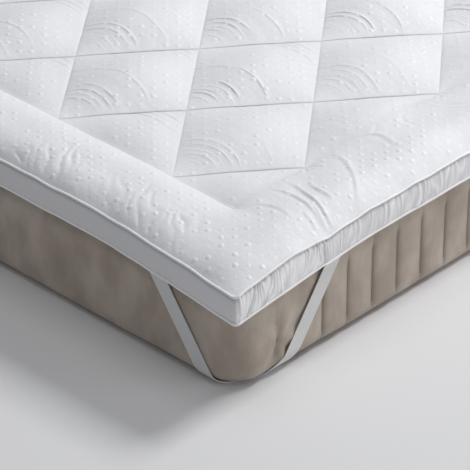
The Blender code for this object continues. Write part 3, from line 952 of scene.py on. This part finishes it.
def build_pad(material):
    bm, layers = new_mesh()
    columns = pattern_lines(HALF_X, FIELD_X, DIAMONDS_X)
    rows = pattern_lines(HALF_Y, FIELD_Y, DIAMONDS_Y)
    add_grid(bm, layers, columns, rows)
    cut_smaller(bm, layers, fine_places)
    cut_smaller(bm, layers, finest_places)
    verts = list(bm.verts)
    a, b = kept_values(verts, layers)
    put(verts, *cover_point(a, b, PAD_TOP_EDGE * (from_seam(a, b) < SAME_POINT)))
    shade(verts, layers, stitch_depth(a, b))
    rim = rim_of(verts)
    split_along_stitches(bm, layers)

    # Down the side: how far inside the seam, the share of the way up, and a height added to it.
    for inside, share, height in (
        (PAD_SIDE, 1.0, -PAD_TUCK),
        (PAD_SIDE - BAND_BULGE + PAD_TO_BAND, 0.5, 0.0),
        (PAD_SIDE, 0.0, PAD_TUCK),
        (PAD_BOTTOM_EDGE, 0.0, 0.0),
    ):

        def down_side(at_a, at_b, inside=inside, share=share, height=height):
            x, y = topper_plan(at_a, at_b, inside)
            up = mix(bottom_seam(at_a, at_b), top_seam(at_a, at_b), share)
            return x, y, underside(x, y) + up + height

        rim = next_loop(bm, layers, rim, down_side)
    for inset in UNDER_INSETS:

        def below(at_a, at_b, inset=inset):
            inner_a = np.clip(at_a, inset - HALF_X, HALF_X - inset)
            inner_b = np.clip(at_b, inset - HALF_Y, HALF_Y - inset)
            x, y = topper_plan(inner_a, inner_b)
            return x, y, underside(x, y)

        rim = next_loop(bm, layers, rim, below)
    close(bm)
    mesh = as_mesh("quilted_cover", bm)
    pad = finished("quilted_cover", mesh, material, ("quilted_pad",))
    map_diamonds(pad.data)


def stitch_depth(a, b):
    """1 on the straight stitched line at the foot and the head, and 0 from STITCH_FAR of it."""
    past_end = np.maximum(0.0, abs(a) - FIELD_X)
    return 1.0 - np.hypot(abs(b) - FIELD_Y, past_end) / STITCH_FAR


def read(data, key, width=1, kind=float):
    values = np.zeros(len(data) * width, dtype=kind)
    data.foreach_get(key, values)
    return values


def map_diamonds(mesh):
    """A map of the cloth in each diamond, in metres from its foot-side corner."""
    a, b = (read(mesh.attributes[name].data, "value") for name in ("a", "b"))
    for name in ("a", "b"):
        mesh.attributes.remove(mesh.attributes[name])
    corners = read(mesh.loops, "vertex_index", kind=int)
    sizes = read(mesh.polygons, "loop_total", kind=int)
    face = np.repeat(np.arange(len(sizes)), sizes)
    z = read(mesh.vertices, "co", 3)[2::3]
    middle_a, middle_b, middle_z = (np.bincount(face, values[corners]) / sizes for values in (a, b, z))
    above = middle_z > MATTRESS_HEIGHT + PIPING_RADIUS
    inside = above & (abs(middle_a) < FIELD_X) & (abs(middle_b) < FIELD_Y)
    _, _, column, row = in_diamonds(middle_a, middle_b)
    from_a, from_b = from_foot_corner(a[corners], b[corners], column[face], row[face])
    u = np.where(inside[face], from_a, 0.0)
    v = np.where(inside[face], from_b, HALF_DIAMOND_Y)
    mesh.uv_layers.new(name="diamond").data.foreach_set("uv", np.stack((u, v), axis=1).ravel())
    whole = (abs((column + row) * HALF_DIAMOND_X - FIELD_X) < FIELD_X - SAME_POINT) * 1.0
    number = mix(0.25, 1.0, whole) * mix(0.40, 1.0, hashed(column, row, PUCKER_CHANCE))
    mesh.attributes.new("number", "FLOAT", "FACE").data.foreach_set("value", number)


# ---- raised dots of the cloth ----
DOT_REPEAT = 0.030
DOT_RADIUS = 0.0050
DOT_HEIGHT = 0.0012
DOT_SINK = 0.00016
DOT_SIDES = 8
DOT_SHOULDER = 0.62
DOT_FROM_SEAM = 0.008
DOT_FROM_STITCH = 0.0065
DOT_ROLL_REACH = 0.03  # dots on the roll stand out more, fully this far from the field
DOT_SIZES = (0.75, 1.10)
DOT_HEIGHTS = (0.20, 1.0)


def dot_profile(share):
    """Height of a dot at this share of its radius."""
    return DOT_HEIGHT * np.maximum(1.0 - share**2, 0.0) ** 0.8 - DOT_SINK * (share > 0.99)


def dot_places():
    """A half-drop repeat over the whole cover."""
    columns = np.arange(-int(HALF_X / DOT_REPEAT), int(HALF_X / DOT_REPEAT) + 1) * DOT_REPEAT
    rows = np.arange(-int(2 * HALF_Y / DOT_REPEAT), int(2 * HALF_Y / DOT_REPEAT) + 1)
    a, row = (grid.ravel() for grid in np.meshgrid(columns, rows))
    a = a + (row % 2) * DOT_REPEAT / 2.0
    b = row * DOT_REPEAT / 2.0
    kept = (from_seam(a, b) > DOT_FROM_SEAM) & ~near_stitches(a, b, DOT_FROM_STITCH)
    return a[kept], b[kept]


def repeated(name, bm, count):
    """The small mesh joined to itself count times, as one mesh."""
    one = link(name, as_mesh(name, bm))
    array = one.modifiers.new("copies", "ARRAY")
    array.use_relative_offset = False
    array.use_constant_offset = True
    array.constant_offset_displace = (0.0, 0.0, 0.0)
    array.count = count
    seen = one.evaluated_get(bpy.context.evaluated_depsgraph_get())
    joined = bpy.data.meshes.new_from_object(seen)
    bpy.data.objects.remove(one)
    return joined


def build_dots(material):
    bm = bmesh.new()
    bmesh.ops.create_circle(bm, segments=DOT_SIDES, radius=1.0, cap_ends=True)
    top = bmesh.ops.extrude_face_region(bm, geom=list(bm.faces))["geom"]
    top_verts = [item for item in top if isinstance(item, bmesh.types.BMVert)]
    bmesh.ops.scale(bm, vec=(DOT_SHOULDER, DOT_SHOULDER, 1.0), verts=top_verts)
    bmesh.ops.poke(bm, faces=[item for item in top if isinstance(item, bmesh.types.BMFace)])
    bmesh.ops.recalc_face_normals(bm, faces=list(bm.faces))
    shape = np.array([vert.co[:2] for vert in bm.verts])
    places_a, places_b = dot_places()
    joined = repeated("raised_dots", bm, len(places_a))
    share = np.hypot(shape[:, 0], shape[:, 1])
    half_repeat = DOT_REPEAT / 2.0
    chance = hashed(np.rint(places_a / half_repeat), np.rint(places_b / half_repeat), 3.0)
    in_roll = smooth(np.maximum(abs(places_a) - FIELD_X, abs(places_b) - FIELD_Y) / DOT_ROLL_REACH)
    vary = mix(*DOT_HEIGHTS, smooth((chance - 0.30) / 0.60)) * mix(0.85, 1.10, in_roll)
    size = DOT_RADIUS * mix(*DOT_SIZES, smooth((chance - 0.20) / 0.60))
    lift = (vary[:, None] * dot_profile(share)[None, :]).ravel()
    a = (places_a[:, None] + size[:, None] * shape[None, :, 0]).ravel()
    b = (places_b[:, None] + size[:, None] * shape[None, :, 1]).ravel()
    x, y, z = cover_point(a, b)
    joined.vertices.foreach_set("co", np.stack((x, y, z + lift), axis=1).ravel())
    finished("raised_dots", joined, material)


# ---- seams round the topper ----
SEAM_STEP = 0.0030
CORNER_FINE = 0.030
CORNER_FINE_STEP = 0.0025


def side_steps(half, step, first, last):
    """Positions along a side from first to last, close together near its two corners."""
    fine = np.arange(0.0, CORNER_FINE, min(CORNER_FINE_STEP, step)) - half
    cells = int(2 * (half - CORNER_FINE) / step)
    middle_steps = np.linspace(CORNER_FINE - half, half - CORNER_FINE, cells + 1)
    steps = np.concatenate((fine, middle_steps, -fine[::-1]))
    return np.concatenate(([first], steps[(steps > first) & (steps < last)], [last]))


def side_points(side, steps, half_x, half_y):
    """Points along one side of a plan, counter-clockwise, for positions along it."""
    if side in ("left", "foot"):
        half_x, half_y = -half_x, -half_y
    if side in ("head", "left"):
        steps = -steps
    on_long = side in ("right", "left")
    return np.stack(np.broadcast_arrays(*((half_x, steps) if on_long else (steps, half_y))))


def outline(half_x, half_y, steps_x, steps_y):
    """Points all round a plan, counter-clockwise, the first one again at the end."""
    sides = (("right", steps_y), ("head", steps_x), ("left", steps_y), ("foot", steps_x))
    points = np.hstack([side_points(side, steps[:-1], half_x, half_y) for side, steps in sides])
    return np.hstack((points, points[:, :1]))


def summed(lengths):
    return np.concatenate(([0.0], np.cumsum(lengths)))


def strip(along, around, place, tone=None):
    """A strip or cord: a grid of metres along it and round its section, closed into a solid."""
    bm, layers = new_mesh()
    verts, i, j = add_grid(bm, layers, np.arange(len(along)), np.arange(len(around)))
    cloth = bm.loops.layers.uv.new("cloth")
    for face in bm.faces:
        for loop in face.loops:
            step, turn = round(loop.vert[layers[0]]), round(loop.vert[layers[1]])
            loop[cloth].uv = (along[step], around[turn])
    put(verts, *place(i, j))
    if tone:
        shade(verts, layers, tone(i, j))
    close(bm)
    return bm


PIPING_SIDES = 8
CORNER_BUNCH = 0.30  # the cord is this much thicker where it is turned round a corner
TOP_CORD = 0.0021
BOTTOM_CORD = 0.0025


def build_piping(name, seam, radius, material):
    steps = [side_steps(half, SEAM_STEP, -half, half) for half in (HALF_X, HALF_Y)]
    a, b = outline(HALF_X, HALF_Y, *steps)
    x, y = topper_plan(a, b)
    _, _, away_x, away_y = rounded(a, b, HALF_X, HALF_Y, CORNER_RADIUS)
    z = underside(x, y) + seam(a, b)
    turns = np.linspace(0.0, 2.0 * math.pi, PIPING_SIDES + 1)
    thick = radius * (1.0 + CORNER_BUNCH * hill(from_corner(a, b), CORNER_RADIUS))

    def place(i, j):
        out = PIPING_OUTSIDE + PIPING_RADIUS - radius + thick[i] * np.cos(turns[j])
        up = thick[i] * np.sin(turns[j])
        return x[i] + away_x[i] * out, y[i] + away_y[i] * out, z[i] + up

    bm = strip(summed(np.hypot(np.diff(x), np.diff(y))), turns * radius, place)
    finished(name + "_cord", as_mesh(name, bm), material, (name,))


# ---- the band round the sides ----
BAND_THICKNESS = 0.0012
BAND_EDGE = 0.0020
BAND_ROWS = 16
# A band's cloth: the mesh's step along it, how deep its gathers are and how far apart, the tone
# of the flat cloth between creases at 0 and ridges at 1, and how much the gathers change it. This
# tone is painted light and shade: ridges painted lighter, creases darker, and the flat tone set per
# band, lightest on the short gathered band by the foot corner and darkest at the foot and the head.
SHORT_CLOTH = {"step": 0.0008, "gather": 0.0046, "pitch": 0.0085, "plain": 0.90, "tone": 2.6}
LONG_CLOTH = {"step": 0.0012, "gather": 0.0033, "pitch": 0.0150, "plain": 0.68, "tone": 1.2}
PLAIN_CLOTH = {"step": 0.0060, "gather": 0.0, "plain": 0.57, "tone": 0.0}
CLOSING_SEAM = JOIN_FROM_CORNER - HALF_Y
# Each band: side, first and last position along it, how far its top is tucked in, and its cloth.
BANDS = {
    "gusset_right_end": ("right", -HALF_Y, CLOSING_SEAM, 1.0, SHORT_CLOTH),
    "gusset_right": ("right", CLOSING_SEAM, HALF_Y, 0.4, LONG_CLOTH),
    "gusset_head": ("head", -HALF_X, HALF_X, 0.6, PLAIN_CLOTH),
    "gusset_left": ("left", -HALF_Y, HALF_Y, 0.4, LONG_CLOTH),
    "gusset_foot": ("foot", -HALF_X, HALF_X, 0.6, PLAIN_CLOTH),
}
GATHER_LEAN = 0.020
GATHER_REACH = (0.16, 0.80)  # how far a gather runs from its edge, as a share of the band's width
GATHER_HELD = 0.05  # share of the width over which the seams hold the gathers flat
FINE_REACH = 0.20  # the fine gathers beside the seams
FINE_SHARE = 0.28
CROSSING_PITCH = 0.0052
CROSSING_SHARE = 0.09
PAST_SECOND = 0.006  # the gathers grow past the second seam, and away from the closing seam
PAST_CLOSING = 0.024
# Seams across a long side's band: how far from its corner at the top and at the bottom, and size.
BAND_SEAMS = (
    (0.008, 0.011, 1.0),
    (0.046, 0.027, 1.5),
    (0.203, 0.209, 1.8),
    (0.245, 0.243, 0.7),
)
BAND_SEAM_WIDTH = 0.0014
BAND_SEAM_HEIGHT = 0.0011
# The band's painted light: seams painted lighter with painted shade in their grooves, and painted shade under
# the piping.
SEAM_PAINTED_LIGHT = 1.10
PIPING_PAINTED_SHADE = 0.80
EDGE_TUCK = 0.0030  # how far the band is drawn in under the piping above it
TUCK_SHARE = 0.07  # share of the width that is drawn in, and that is painted darker as shade of the piping
SHADE_SHARE = 0.08


def gathers(s, t, pitch):
    """The shape of gathered cloth, about -0.3 to 1, s along the band and t from 0 to 1 up it."""
    lean = GATHER_LEAN * noise_line(s, 0.047, 0.7)
    phase = (s + lean * (t - 0.5)) / pitch + 0.6 * noise_line(s, 0.057, 1.2)
    phase = phase + 0.20 * np.sin(3.0 * t + s / 0.02)
    number = np.floor(phase)
    ridge = np.sin(math.pi * (phase - number)) ** 5.0
    size = mix(0.30, 1.0, hashed(number, 3.0, pitch))
    from_top = hashed(number, 7.0, pitch) > 0.25
    from_low = hashed(number, 9.0, pitch) > 0.50
    reach = mix(*GATHER_REACH, hashed(number, 5.0, pitch) ** 1.5)
    strength = np.maximum(np.exp(-(1.0 - t) / reach) * from_top, np.exp(-t / reach) * from_low)
    near_edge = np.maximum(np.exp(-t / FINE_REACH), np.exp(-(1.0 - t) / FINE_REACH))
    fine = abs(np.sin(math.pi * (2.3 * phase + 0.7 * t + 0.3 * np.sin(9.0 * t)))) - 0.6
    crossing = np.sin((s - 0.35 * SEAM_HEIGHT * t) / CROSSING_PITCH) * np.sin(s / 0.031 + 4.0 * t)
    held = smooth(t / GATHER_HELD) * smooth((1.0 - t) / GATHER_HELD)
    uneven = 0.75 + 0.35 * noise_line(s, 0.083, 0.2)
    relief = strength * size * (ridge - 0.25)
    relief = relief + FINE_SHARE * fine * near_edge + CROSSING_SHARE * crossing
    return uneven * held * relief


def band_seams(off_corner, t):
    """The seams across a long side's band, 1 for the fullest; each has a groove to both sides."""
    total = 0.0
    for top, bottom, size in BAND_SEAMS:
        away = abs(off_corner - mix(bottom, top, t))
        groove = hill(away - 2.4 * BAND_SEAM_WIDTH, BAND_SEAM_WIDTH)
        total = total + size * (hill(away, BAND_SEAM_WIDTH) - 0.35 * groove)
    return total


def build_band(name, side, first, last, tuck, cloth, material):
    half = HALF_Y if side in ("right", "left") else HALF_X
    gathered = cloth is not PLAIN_CLOTH
    a, b = side_points(side, side_steps(half, cloth["step"], first, last), HALF_X, HALF_Y)
    x, y = topper_plan(a, b)
    _, _, away_x, away_y = rounded(a, b, HALF_X, HALF_Y, CORNER_RADIUS)
    base = underside(x, y)
    low = base + bottom_seam(a, b) + BAND_EDGE
    high = base + top_seam(a, b) - BAND_EDGE
    along = summed(np.hypot(np.diff(x), np.diff(y)))
    shares = np.linspace(0.0, 1.0, BAND_ROWS + 1)
    up_and_down = np.concatenate((shares, shares[::-1], shares[:1]))
    inner = np.concatenate((np.zeros(len(shares)), np.full(len(shares), BAND_THICKNESS), [0.0]))
    around = summed(abs(np.diff(up_and_down)) * SEAM_HEIGHT + np.diff(inner))
    start = JOIN_FROM_CORNER if first == CLOSING_SEAM else 0.0

    def shape(i, t):
        if not gathered:
            return np.zeros_like(t), np.zeros_like(t)
        off_corner = half - abs(b[i])
        top, bottom, _ = BAND_SEAMS[1]
        past_second = smooth((off_corner - mix(bottom, top, t)) / PAST_SECOND)
        past_closing = smooth(abs(off_corner - JOIN_FROM_CORNER) / PAST_CLOSING)
        full = gathers(along[i] + start, t, cloth["pitch"]) * mix(0.25, 1.0, past_second)
        return full * mix(0.25, 1.0, past_closing), band_seams(off_corner, t)

    def place(i, j):
        t = up_and_down[j]
        full, seams = shape(i, t)
        out = BAND_BULGE * np.sin(math.pi * t) ** 0.8 - inner[j]
        out = out - EDGE_TUCK * hill(1.0 - t, TUCK_SHARE) * tuck
        out = out + cloth["gather"] * full + BAND_SEAM_HEIGHT * seams
        return x[i] + away_x[i] * out, y[i] + away_y[i] * out, mix(low[i], high[i], t)

    # Painted light and shade: the gathers' ridges and the seams painted lighter, creases and grooves darker,
    # and painted shade under the piping.
    def tone(i, j):
        t = up_and_down[j]
        full, seams = shape(i, t)
        shade_of_piping = PIPING_PAINTED_SHADE * hill(1.0 - t, SHADE_SHARE)
        return cloth["plain"] + cloth["tone"] * full + SEAM_PAINTED_LIGHT * seams - shade_of_piping

    mesh = as_mesh(name, strip(along, around, place, tone))
    piece = finished(name + "_cloth", mesh, material, (name,))


# ---- elastic straps ----
STRAP_WIDTH = 0.030
STRAP_THICKNESS = 0.0012
STRAP_CLEAR = 0.0009
STRAP_HEAD = 0.0053
STRAP_HEAD_GAP = 0.0006
END_SIDE_LOW = 0.075
END_SIDE_UNDER = 0.0545
LONG_SIDE_LOW = 0.130
LONG_SIDE_UNDER = 0.0722
SIDE_STATIONS = 14
ROUND_STATIONS = 12
UNDER_STATIONS = 8
STRAP_ACROSS = 10
EDGE_CORD = 0.0003  # the woven edges are a little thicker than the middle


def on_side(corner, end_side, off_corner, half_x, half_y, out=0.0):
    """X and Y of a point on one of a corner's two sides of a plan, so far from the corner."""
    in_x, in_y = (off_corner, -out) if end_side else (-out, off_corner)
    return corner["x"] * (half_x - in_x), corner["y"] * (half_y - in_y)


def beside_mattress(corner, end_side, off_corner, height, out):
    return Vector((*on_side(corner, end_side, off_corner, MATTRESS_X, MATTRESS_Y, out), height))


def strap_head(corner, end_side, off_corner):
    pattern = on_side(corner, end_side, off_corner, HALF_X, HALF_Y)
    x, y = topper_plan(*pattern, STRAP_HEAD)
    return Vector((float(x), float(y), float(underside(x, y) + bottom_seam(*pattern)) - STRAP_HEAD_GAP))


def strap_run(corner, end_side, top, low, under):
    """Stations down one side: a point, the way across and the way out, from the sewn end."""
    along_x, along_y = Vector((corner["x"], 0.0, 0.0)), Vector((0.0, corner["y"], 0.0))
    outward, away = (along_y, -along_x) if end_side else (along_x, -along_y)
    down = Vector((0.0, 0.0, -1.0))
    middle_out = STRAP_CLEAR + STRAP_THICKNESS / 2.0
    head = strap_head(corner, end_side, top)
    low_end = beside_mattress(corner, end_side, low, BOTTOM_ROUND + STRAP_BED, middle_out)
    side_cut = math.hypot(1.0, (top - OVERHANG - low) / (head.z - low_end.z))
    reach = STRAP_WIDTH / 2.0 * side_cut
    before = strap_head(corner, end_side, top - reach)
    beyond = strap_head(corner, end_side, top + reach)
    stations = [(head, (beyond - before) / STRAP_WIDTH, outward)]
    for step in range(1, SIDE_STATIONS + 1):
        stations.append((head.lerp(low_end, step / SIDE_STATIONS), away * side_cut, outward))
    arc = BOTTOM_ROUND + middle_out
    round_cut = math.hypot(1.0, (low - under) / (arc * math.pi / 2.0))
    for step in range(1, ROUND_STATIONS + 1):
        t = step / ROUND_STATIONS
        turn = math.pi / 2.0 * t
        height = STRAP_BED + BOTTOM_ROUND - arc * math.sin(turn)
        out = arc * math.cos(turn) - BOTTOM_ROUND
        point = beside_mattress(corner, end_side, mix(low, under, t), height, out)
        facing = outward * math.cos(turn) + down * math.sin(turn)
        stations.append((point, away * mix(side_cut, round_cut, float(smooth(t * 2.0))), facing))
    return stations


def build_strap(corner, material):
    from_end = strap_run(corner, True, STRAP_HEAD_END, END_SIDE_LOW, END_SIDE_UNDER)
    to_long = strap_run(corner, False, STRAP_HEAD_LONG, LONG_SIDE_LOW, LONG_SIDE_UNDER)
    to_long.reverse()
    (point, across, facing), (next_point, next_across, _) = from_end[-1], to_long[0]
    under = []
    for step in range(1, UNDER_STATIONS):
        t = step / UNDER_STATIONS
        under.append((point.lerp(next_point, t), across.lerp(next_across, t), facing))
    points, across_way, out_way = (np.array(column) for column in zip(*from_end, *under, *to_long))
    along = summed(np.linalg.norm(np.diff(points, axis=0), axis=1))
    shares = np.linspace(-1.0, 1.0, STRAP_ACROSS + 1)
    side_share = np.concatenate((shares, shares[::-1], shares[:1]))
    thick = STRAP_THICKNESS / 2.0
    edge = EDGE_CORD * hill(abs(shares) - 0.9, 0.10)
    lift = np.concatenate((thick + edge, -thick * np.ones(len(shares)), [thick + edge[0]]))
    around = summed(np.hypot(np.diff(side_share) * STRAP_WIDTH / 2.0, np.diff(lift)))

    def place(i, j):
        offset = across_way[i] * (side_share[j] * STRAP_WIDTH / 2.0)[:, None] + out_way[i] * lift[j][:, None]
        return (points[i] + offset).T

    name = "strap_" + corner["name"]
    mesh = as_mesh(name, strip(along, around, place))
    piece = finished(name + "_band", mesh, material, (name,))


# ---- the mattress ----
CHANNEL_PITCH = 0.0610  # sewn channels up the long sides
CHANNEL_DEPTH = 0.0046
CHANNEL_WIDTH = 0.0075
BESIDE_CHANNEL = (0.0025, 0.006, 0.012, 0.020)  # mesh lines to each side of a channel's seam
CHANNELS_FROM = 0.218  # from a corner; nearer to it the cloth is plain
SIDE_ROWS = 26
ROUND_ROWS = 5
FLAT_INSETS = (0.05, 0.10, 0.18, 0.30, 0.42)
PLAIN_SIDE_STEP = 0.016
TUFT_FROM_CORNER = 0.100
TUFT_HEIGHT = 0.060
TUFT_DEPTH = 0.0060
TUFT_WIDTH = 0.0050
TUFT_WANDER = 0.0040
TUFT_REACH = 0.036
TUFT_FOLDS = 5.0
TUFT_FOLD_HEIGHT = 0.0026
SIDE_SLACK = 0.0016
SLACK_PITCH = 0.23
SLACK_TOP = 0.150
RELIEF_RISES = 0.035  # the side's relief grows from the bottom over this height
RELIEF_ENDS = 0.030  # and dies out over this one, below the top edge
TOP_EDGE_PLAIN = 0.012


def mattress_top(x, y):
    return MATTRESS_HEIGHT - droop(x, y)


def strap_bed(x, y):
    """Height of the mattress's underside, raised at its corners to make room for the straps."""
    reach = (MATTRESS_X - abs(x)) + (MATTRESS_Y - abs(y))
    return STRAP_BED * (1.0 - smooth((reach - BED_FULL) / (BED_NONE - BED_FULL)))


def channel_seams():
    """Positions of the seams between the channels, along a long side."""
    half = HALF_Y - CHANNELS_FROM
    count = int(round(2.0 * half / CHANNEL_PITCH))
    return np.linspace(-half, half, count + 1)


def mattress_outline():
    """Points round the mattress, closer together at its corners and at the channels' seams."""
    corner = MATTRESS_CORNER
    seams = channel_seams()
    beside = [seams + side * step for side in (1.0, -1.0) for step in BESIDE_CHANNEL]
    plain = np.arange(corner, HALF_Y - seams[-1] + OVERHANG + 0.02, 0.006)
    long_side = np.concatenate([seams, *beside, MATTRESS_Y - plain, plain - MATTRESS_Y])
    long_side = np.unique(np.round(long_side[abs(long_side) < MATTRESS_Y - corner + 1e-4], 5))
    arc = np.linspace(0.0, corner, 13)[:-1]
    cells = int(2 * (MATTRESS_X - corner) / PLAIN_SIDE_STEP)
    short = np.linspace(corner - MATTRESS_X, MATTRESS_X - corner, cells)
    steps_x, steps_y = (
        np.concatenate((arc - half, steps, -(arc - half)[::-1]))
        for half, steps in ((MATTRESS_X, short), (MATTRESS_Y, long_side))
    )
    return outline(MATTRESS_X, MATTRESS_Y, steps_x, steps_y)


def channel_line(b):
    """1 on a channel's seam, falling off to each side."""
    return np.exp(-abs(b[:, None] - channel_seams()[None, :]).min(1) / CHANNEL_WIDTH)


def on_long_side(a, height):
    """1 on the upright cloth of a long side, away from its rounded edges."""
    up = smooth(height / RELIEF_RISES) * smooth((MATTRESS_HEIGHT - TOP_EDGE_PLAIN - height) / RELIEF_ENDS)
    return up * (abs(a) > MATTRESS_X - SAME_POINT)


def tuft_line(b, height):
    """1 on the short pinched seam near each corner."""
    wander = TUFT_WANDER * np.sin((height - TUFT_HEIGHT) / 0.012)
    away = abs(MATTRESS_Y - abs(b) - TUFT_FROM_CORNER - wander)
    return np.exp(-away / TUFT_WIDTH) * hill(height - TUFT_HEIGHT, TUFT_REACH)


def side_relief(a, b, height):
    """How far the side's cloth is pulled in, by the channels' seams and the tufts."""
    depth = CHANNEL_DEPTH * channel_line(b) + TUFT_DEPTH * tuft_line(b, height)
    off_b = MATTRESS_Y - abs(b) - TUFT_FROM_CORNER
    off_z = height - TUFT_HEIGHT
    rays = np.cos(TUFT_FOLDS * np.arctan2(off_z, off_b) + 0.8)
    depth = depth - TUFT_FOLD_HEIGHT * rays * hill(np.hypot(off_b, off_z) - TUFT_REACH, 0.020)
    slack = SIDE_SLACK * (0.5 + 0.5 * noise_line(a + b, SLACK_PITCH, 1.0) * np.sin(height / 0.04))
    slack = slack * smooth(height / RELIEF_RISES) * smooth((SLACK_TOP - height) / RELIEF_ENDS)
    return on_long_side(a, height) * depth + slack


# Painted shade: how much the channels' seams and the pinched tufts are darkened.
def seam_shading(a, b, height):
    return on_long_side(a, height) * (0.8 * channel_line(b) ** 2 + 0.7 * tuft_line(b, height))


def build_mattress(material):
    outline_a, outline_b = mattress_outline()
    arcs = np.linspace(0.0, math.pi / 2.0, ROUND_ROWS + 1)
    # Each row round the side: which part of it, how far inside the outline, and how far up that part.
    rows = [("low", *(BOTTOM_ROUND * (1.0 - turn(t)) for turn in (math.sin, math.cos))) for t in arcs[:-1]]
    rows += [("side", 0.0, share) for share in np.linspace(0.0, 1.0, SIDE_ROWS + 1)]
    rows += [("top", TOP_ROUND * (1.0 - math.cos(t)), TOP_ROUND * math.sin(t)) for t in arcs[1:]]
    part, inside, up = (np.array(column) for column in zip(*rows))
    bm, layers = new_mesh()
    verts, i, j = add_grid(bm, layers, np.arange(len(outline_a)), np.arange(len(rows)))
    x, y, away_x, away_y = rounded(outline_a[i], outline_b[i], MATTRESS_X, MATTRESS_Y, MATTRESS_CORNER)
    x, y = x - away_x * inside[j], y - away_y * inside[j]
    low = strap_bed(x, y)
    top = mattress_top(x, y) - TOP_ROUND
    side = mix(low + BOTTOM_ROUND, top, up[j])
    z = np.where(part[j] == "low", low + up[j], np.where(part[j] == "side", side, top + up[j]))
    depth = side_relief(outline_a[i], outline_b[i], z)
    put(verts, x - away_x * depth, y - away_y * depth, z)
    shade(verts, layers, seam_shading(outline_a[i], outline_b[i], z))
    bmesh.ops.remove_doubles(bm, verts=verts, dist=SAME_POINT)
    rims = rim_of(bm.verts)
    for height, above in ((mattress_top, True), (strap_bed, False)):
        rim = [edge for edge in rims if (edge.verts[0].co.z > MATTRESS_HEIGHT / 2.0) == above]
        for inset in FLAT_INSETS:

            def flat(ring_i, _, inset=inset, height=height):
                a, b = outline_a[ring_i.astype(int)], outline_b[ring_i.astype(int)]
                flat_x = np.clip(a, inset - MATTRESS_X, MATTRESS_X - inset)
                flat_y = np.clip(b, inset - MATTRESS_Y, MATTRESS_Y - inset)
                return flat_x, flat_y, height(flat_x, flat_y)

            rim = next_loop(bm, layers, rim, flat)
    close(bm)
    mesh = as_mesh("mattress_cover", bm)
    finished("mattress_cover", mesh, material, ("mattress",))


# ---- camera, light and floor ----
PHOTO_SIDE = 470
FOCAL_PIXELS = 3000.0
SENSOR = 36.0
CAMERA_AZIMUTH = math.radians(43.83)
CAMERA_ELEVATION = math.radians(32.3)
CAMERA_TARGET = Vector((0.54, -0.84, 0.224))  # the quilted field's corner
CAMERA_DISTANCE = 4.78
CAMERA_RIGHT = 0.0034
CAMERA_UP = -0.0440
LIGHTS = (
    # Name, place from the camera's target, size and power.
    ("key", Vector((0.60, 3.40, 3.75)), 1.4, 158.0),
    ("top", Vector((0.0, 0.0, 4.5)), 3.0, 37.0),
    ("side", Vector((5.0, 4.2, -0.04)), 2.8, 165.0),
)
WORLD_STRENGTH = 0.25
FLOOR_HALF = 20.0


def add_camera():
    level = math.cos(CAMERA_ELEVATION)
    right = Vector((math.cos(CAMERA_AZIMUTH), math.sin(CAMERA_AZIMUTH), 0.0))
    back = Vector((right.y * level, -right.x * level, math.sin(CAMERA_ELEVATION)))
    up = back.cross(right)
    data = bpy.data.cameras.new("camera")
    data.sensor_width = SENSOR
    data.lens = FOCAL_PIXELS / PHOTO_SIDE * SENSOR
    camera = link("camera", data)
    pose = Matrix((right, up, back)).transposed().to_4x4()
    pose.translation = CAMERA_TARGET + back * CAMERA_DISTANCE + right * CAMERA_RIGHT + up * CAMERA_UP
    camera.matrix_world = pose
    bpy.context.scene.camera = camera


def add_studio():
    world = bpy.data.worlds.new("studio")
    world.use_nodes = True
    background = world.node_tree.nodes["Background"]
    background.inputs["Color"].default_value = SKY_TONE
    background.inputs["Strength"].default_value = WORLD_STRENGTH
    bpy.context.scene.world = world
    for name, offset, size, power in LIGHTS:
        data = bpy.data.lights.new(name, "AREA")
        data.energy = power
        data.size = size
        light = link(name, data)
        light.location = CAMERA_TARGET + offset
        light.rotation_euler = (-offset).to_track_quat("-Z", "Y").to_euler()
    material, tree, shader = new_material("pale_floor", 0.9)
    paint(tree, shader, noise(tree, object_place(tree), 3.0), *FLOOR_TONES)
    bm = bmesh.new()
    bmesh.ops.create_grid(bm, x_segments=1, y_segments=1, size=FLOOR_HALF)
    floor = link("floor", as_mesh("floor", bm))
    floor.data.materials.append(material)
    bpy.context.scene.view_settings.view_transform = "Standard"


# ---- the whole topper on its mattress ----
quilted_cloth = quilted_material()
gusset_cloth = cotton_material("gusset_cloth", 0.80, GUSSET_TONES[1], dark=GUSSET_TONES[0])
# The piping's cloth is painted lighter than the cover's, a painted highlight along the cords.
piping_cloth = cotton_material("piping_cloth", 0.55, PIPING_HIGHLIGHT_TONE)
build_mattress(mattress_material())
build_pad(quilted_cloth)
# The dots' cloth is painted lighter than the cover's, a painted highlight.
build_dots(cotton_material("dot_cloth_painted_highlight", 0.55, DOT_HIGHLIGHT_TONE))
build_piping("piping_bottom", bottom_seam, BOTTOM_CORD, piping_cloth)
build_piping("piping_top", top_seam, TOP_CORD, piping_cloth)
for name, band in BANDS.items():
    build_band(name, *band, gusset_cloth)
elastic = elastic_material()
for corner in CORNERS:
    build_strap(corner, elastic)
add_camera()
add_studio()
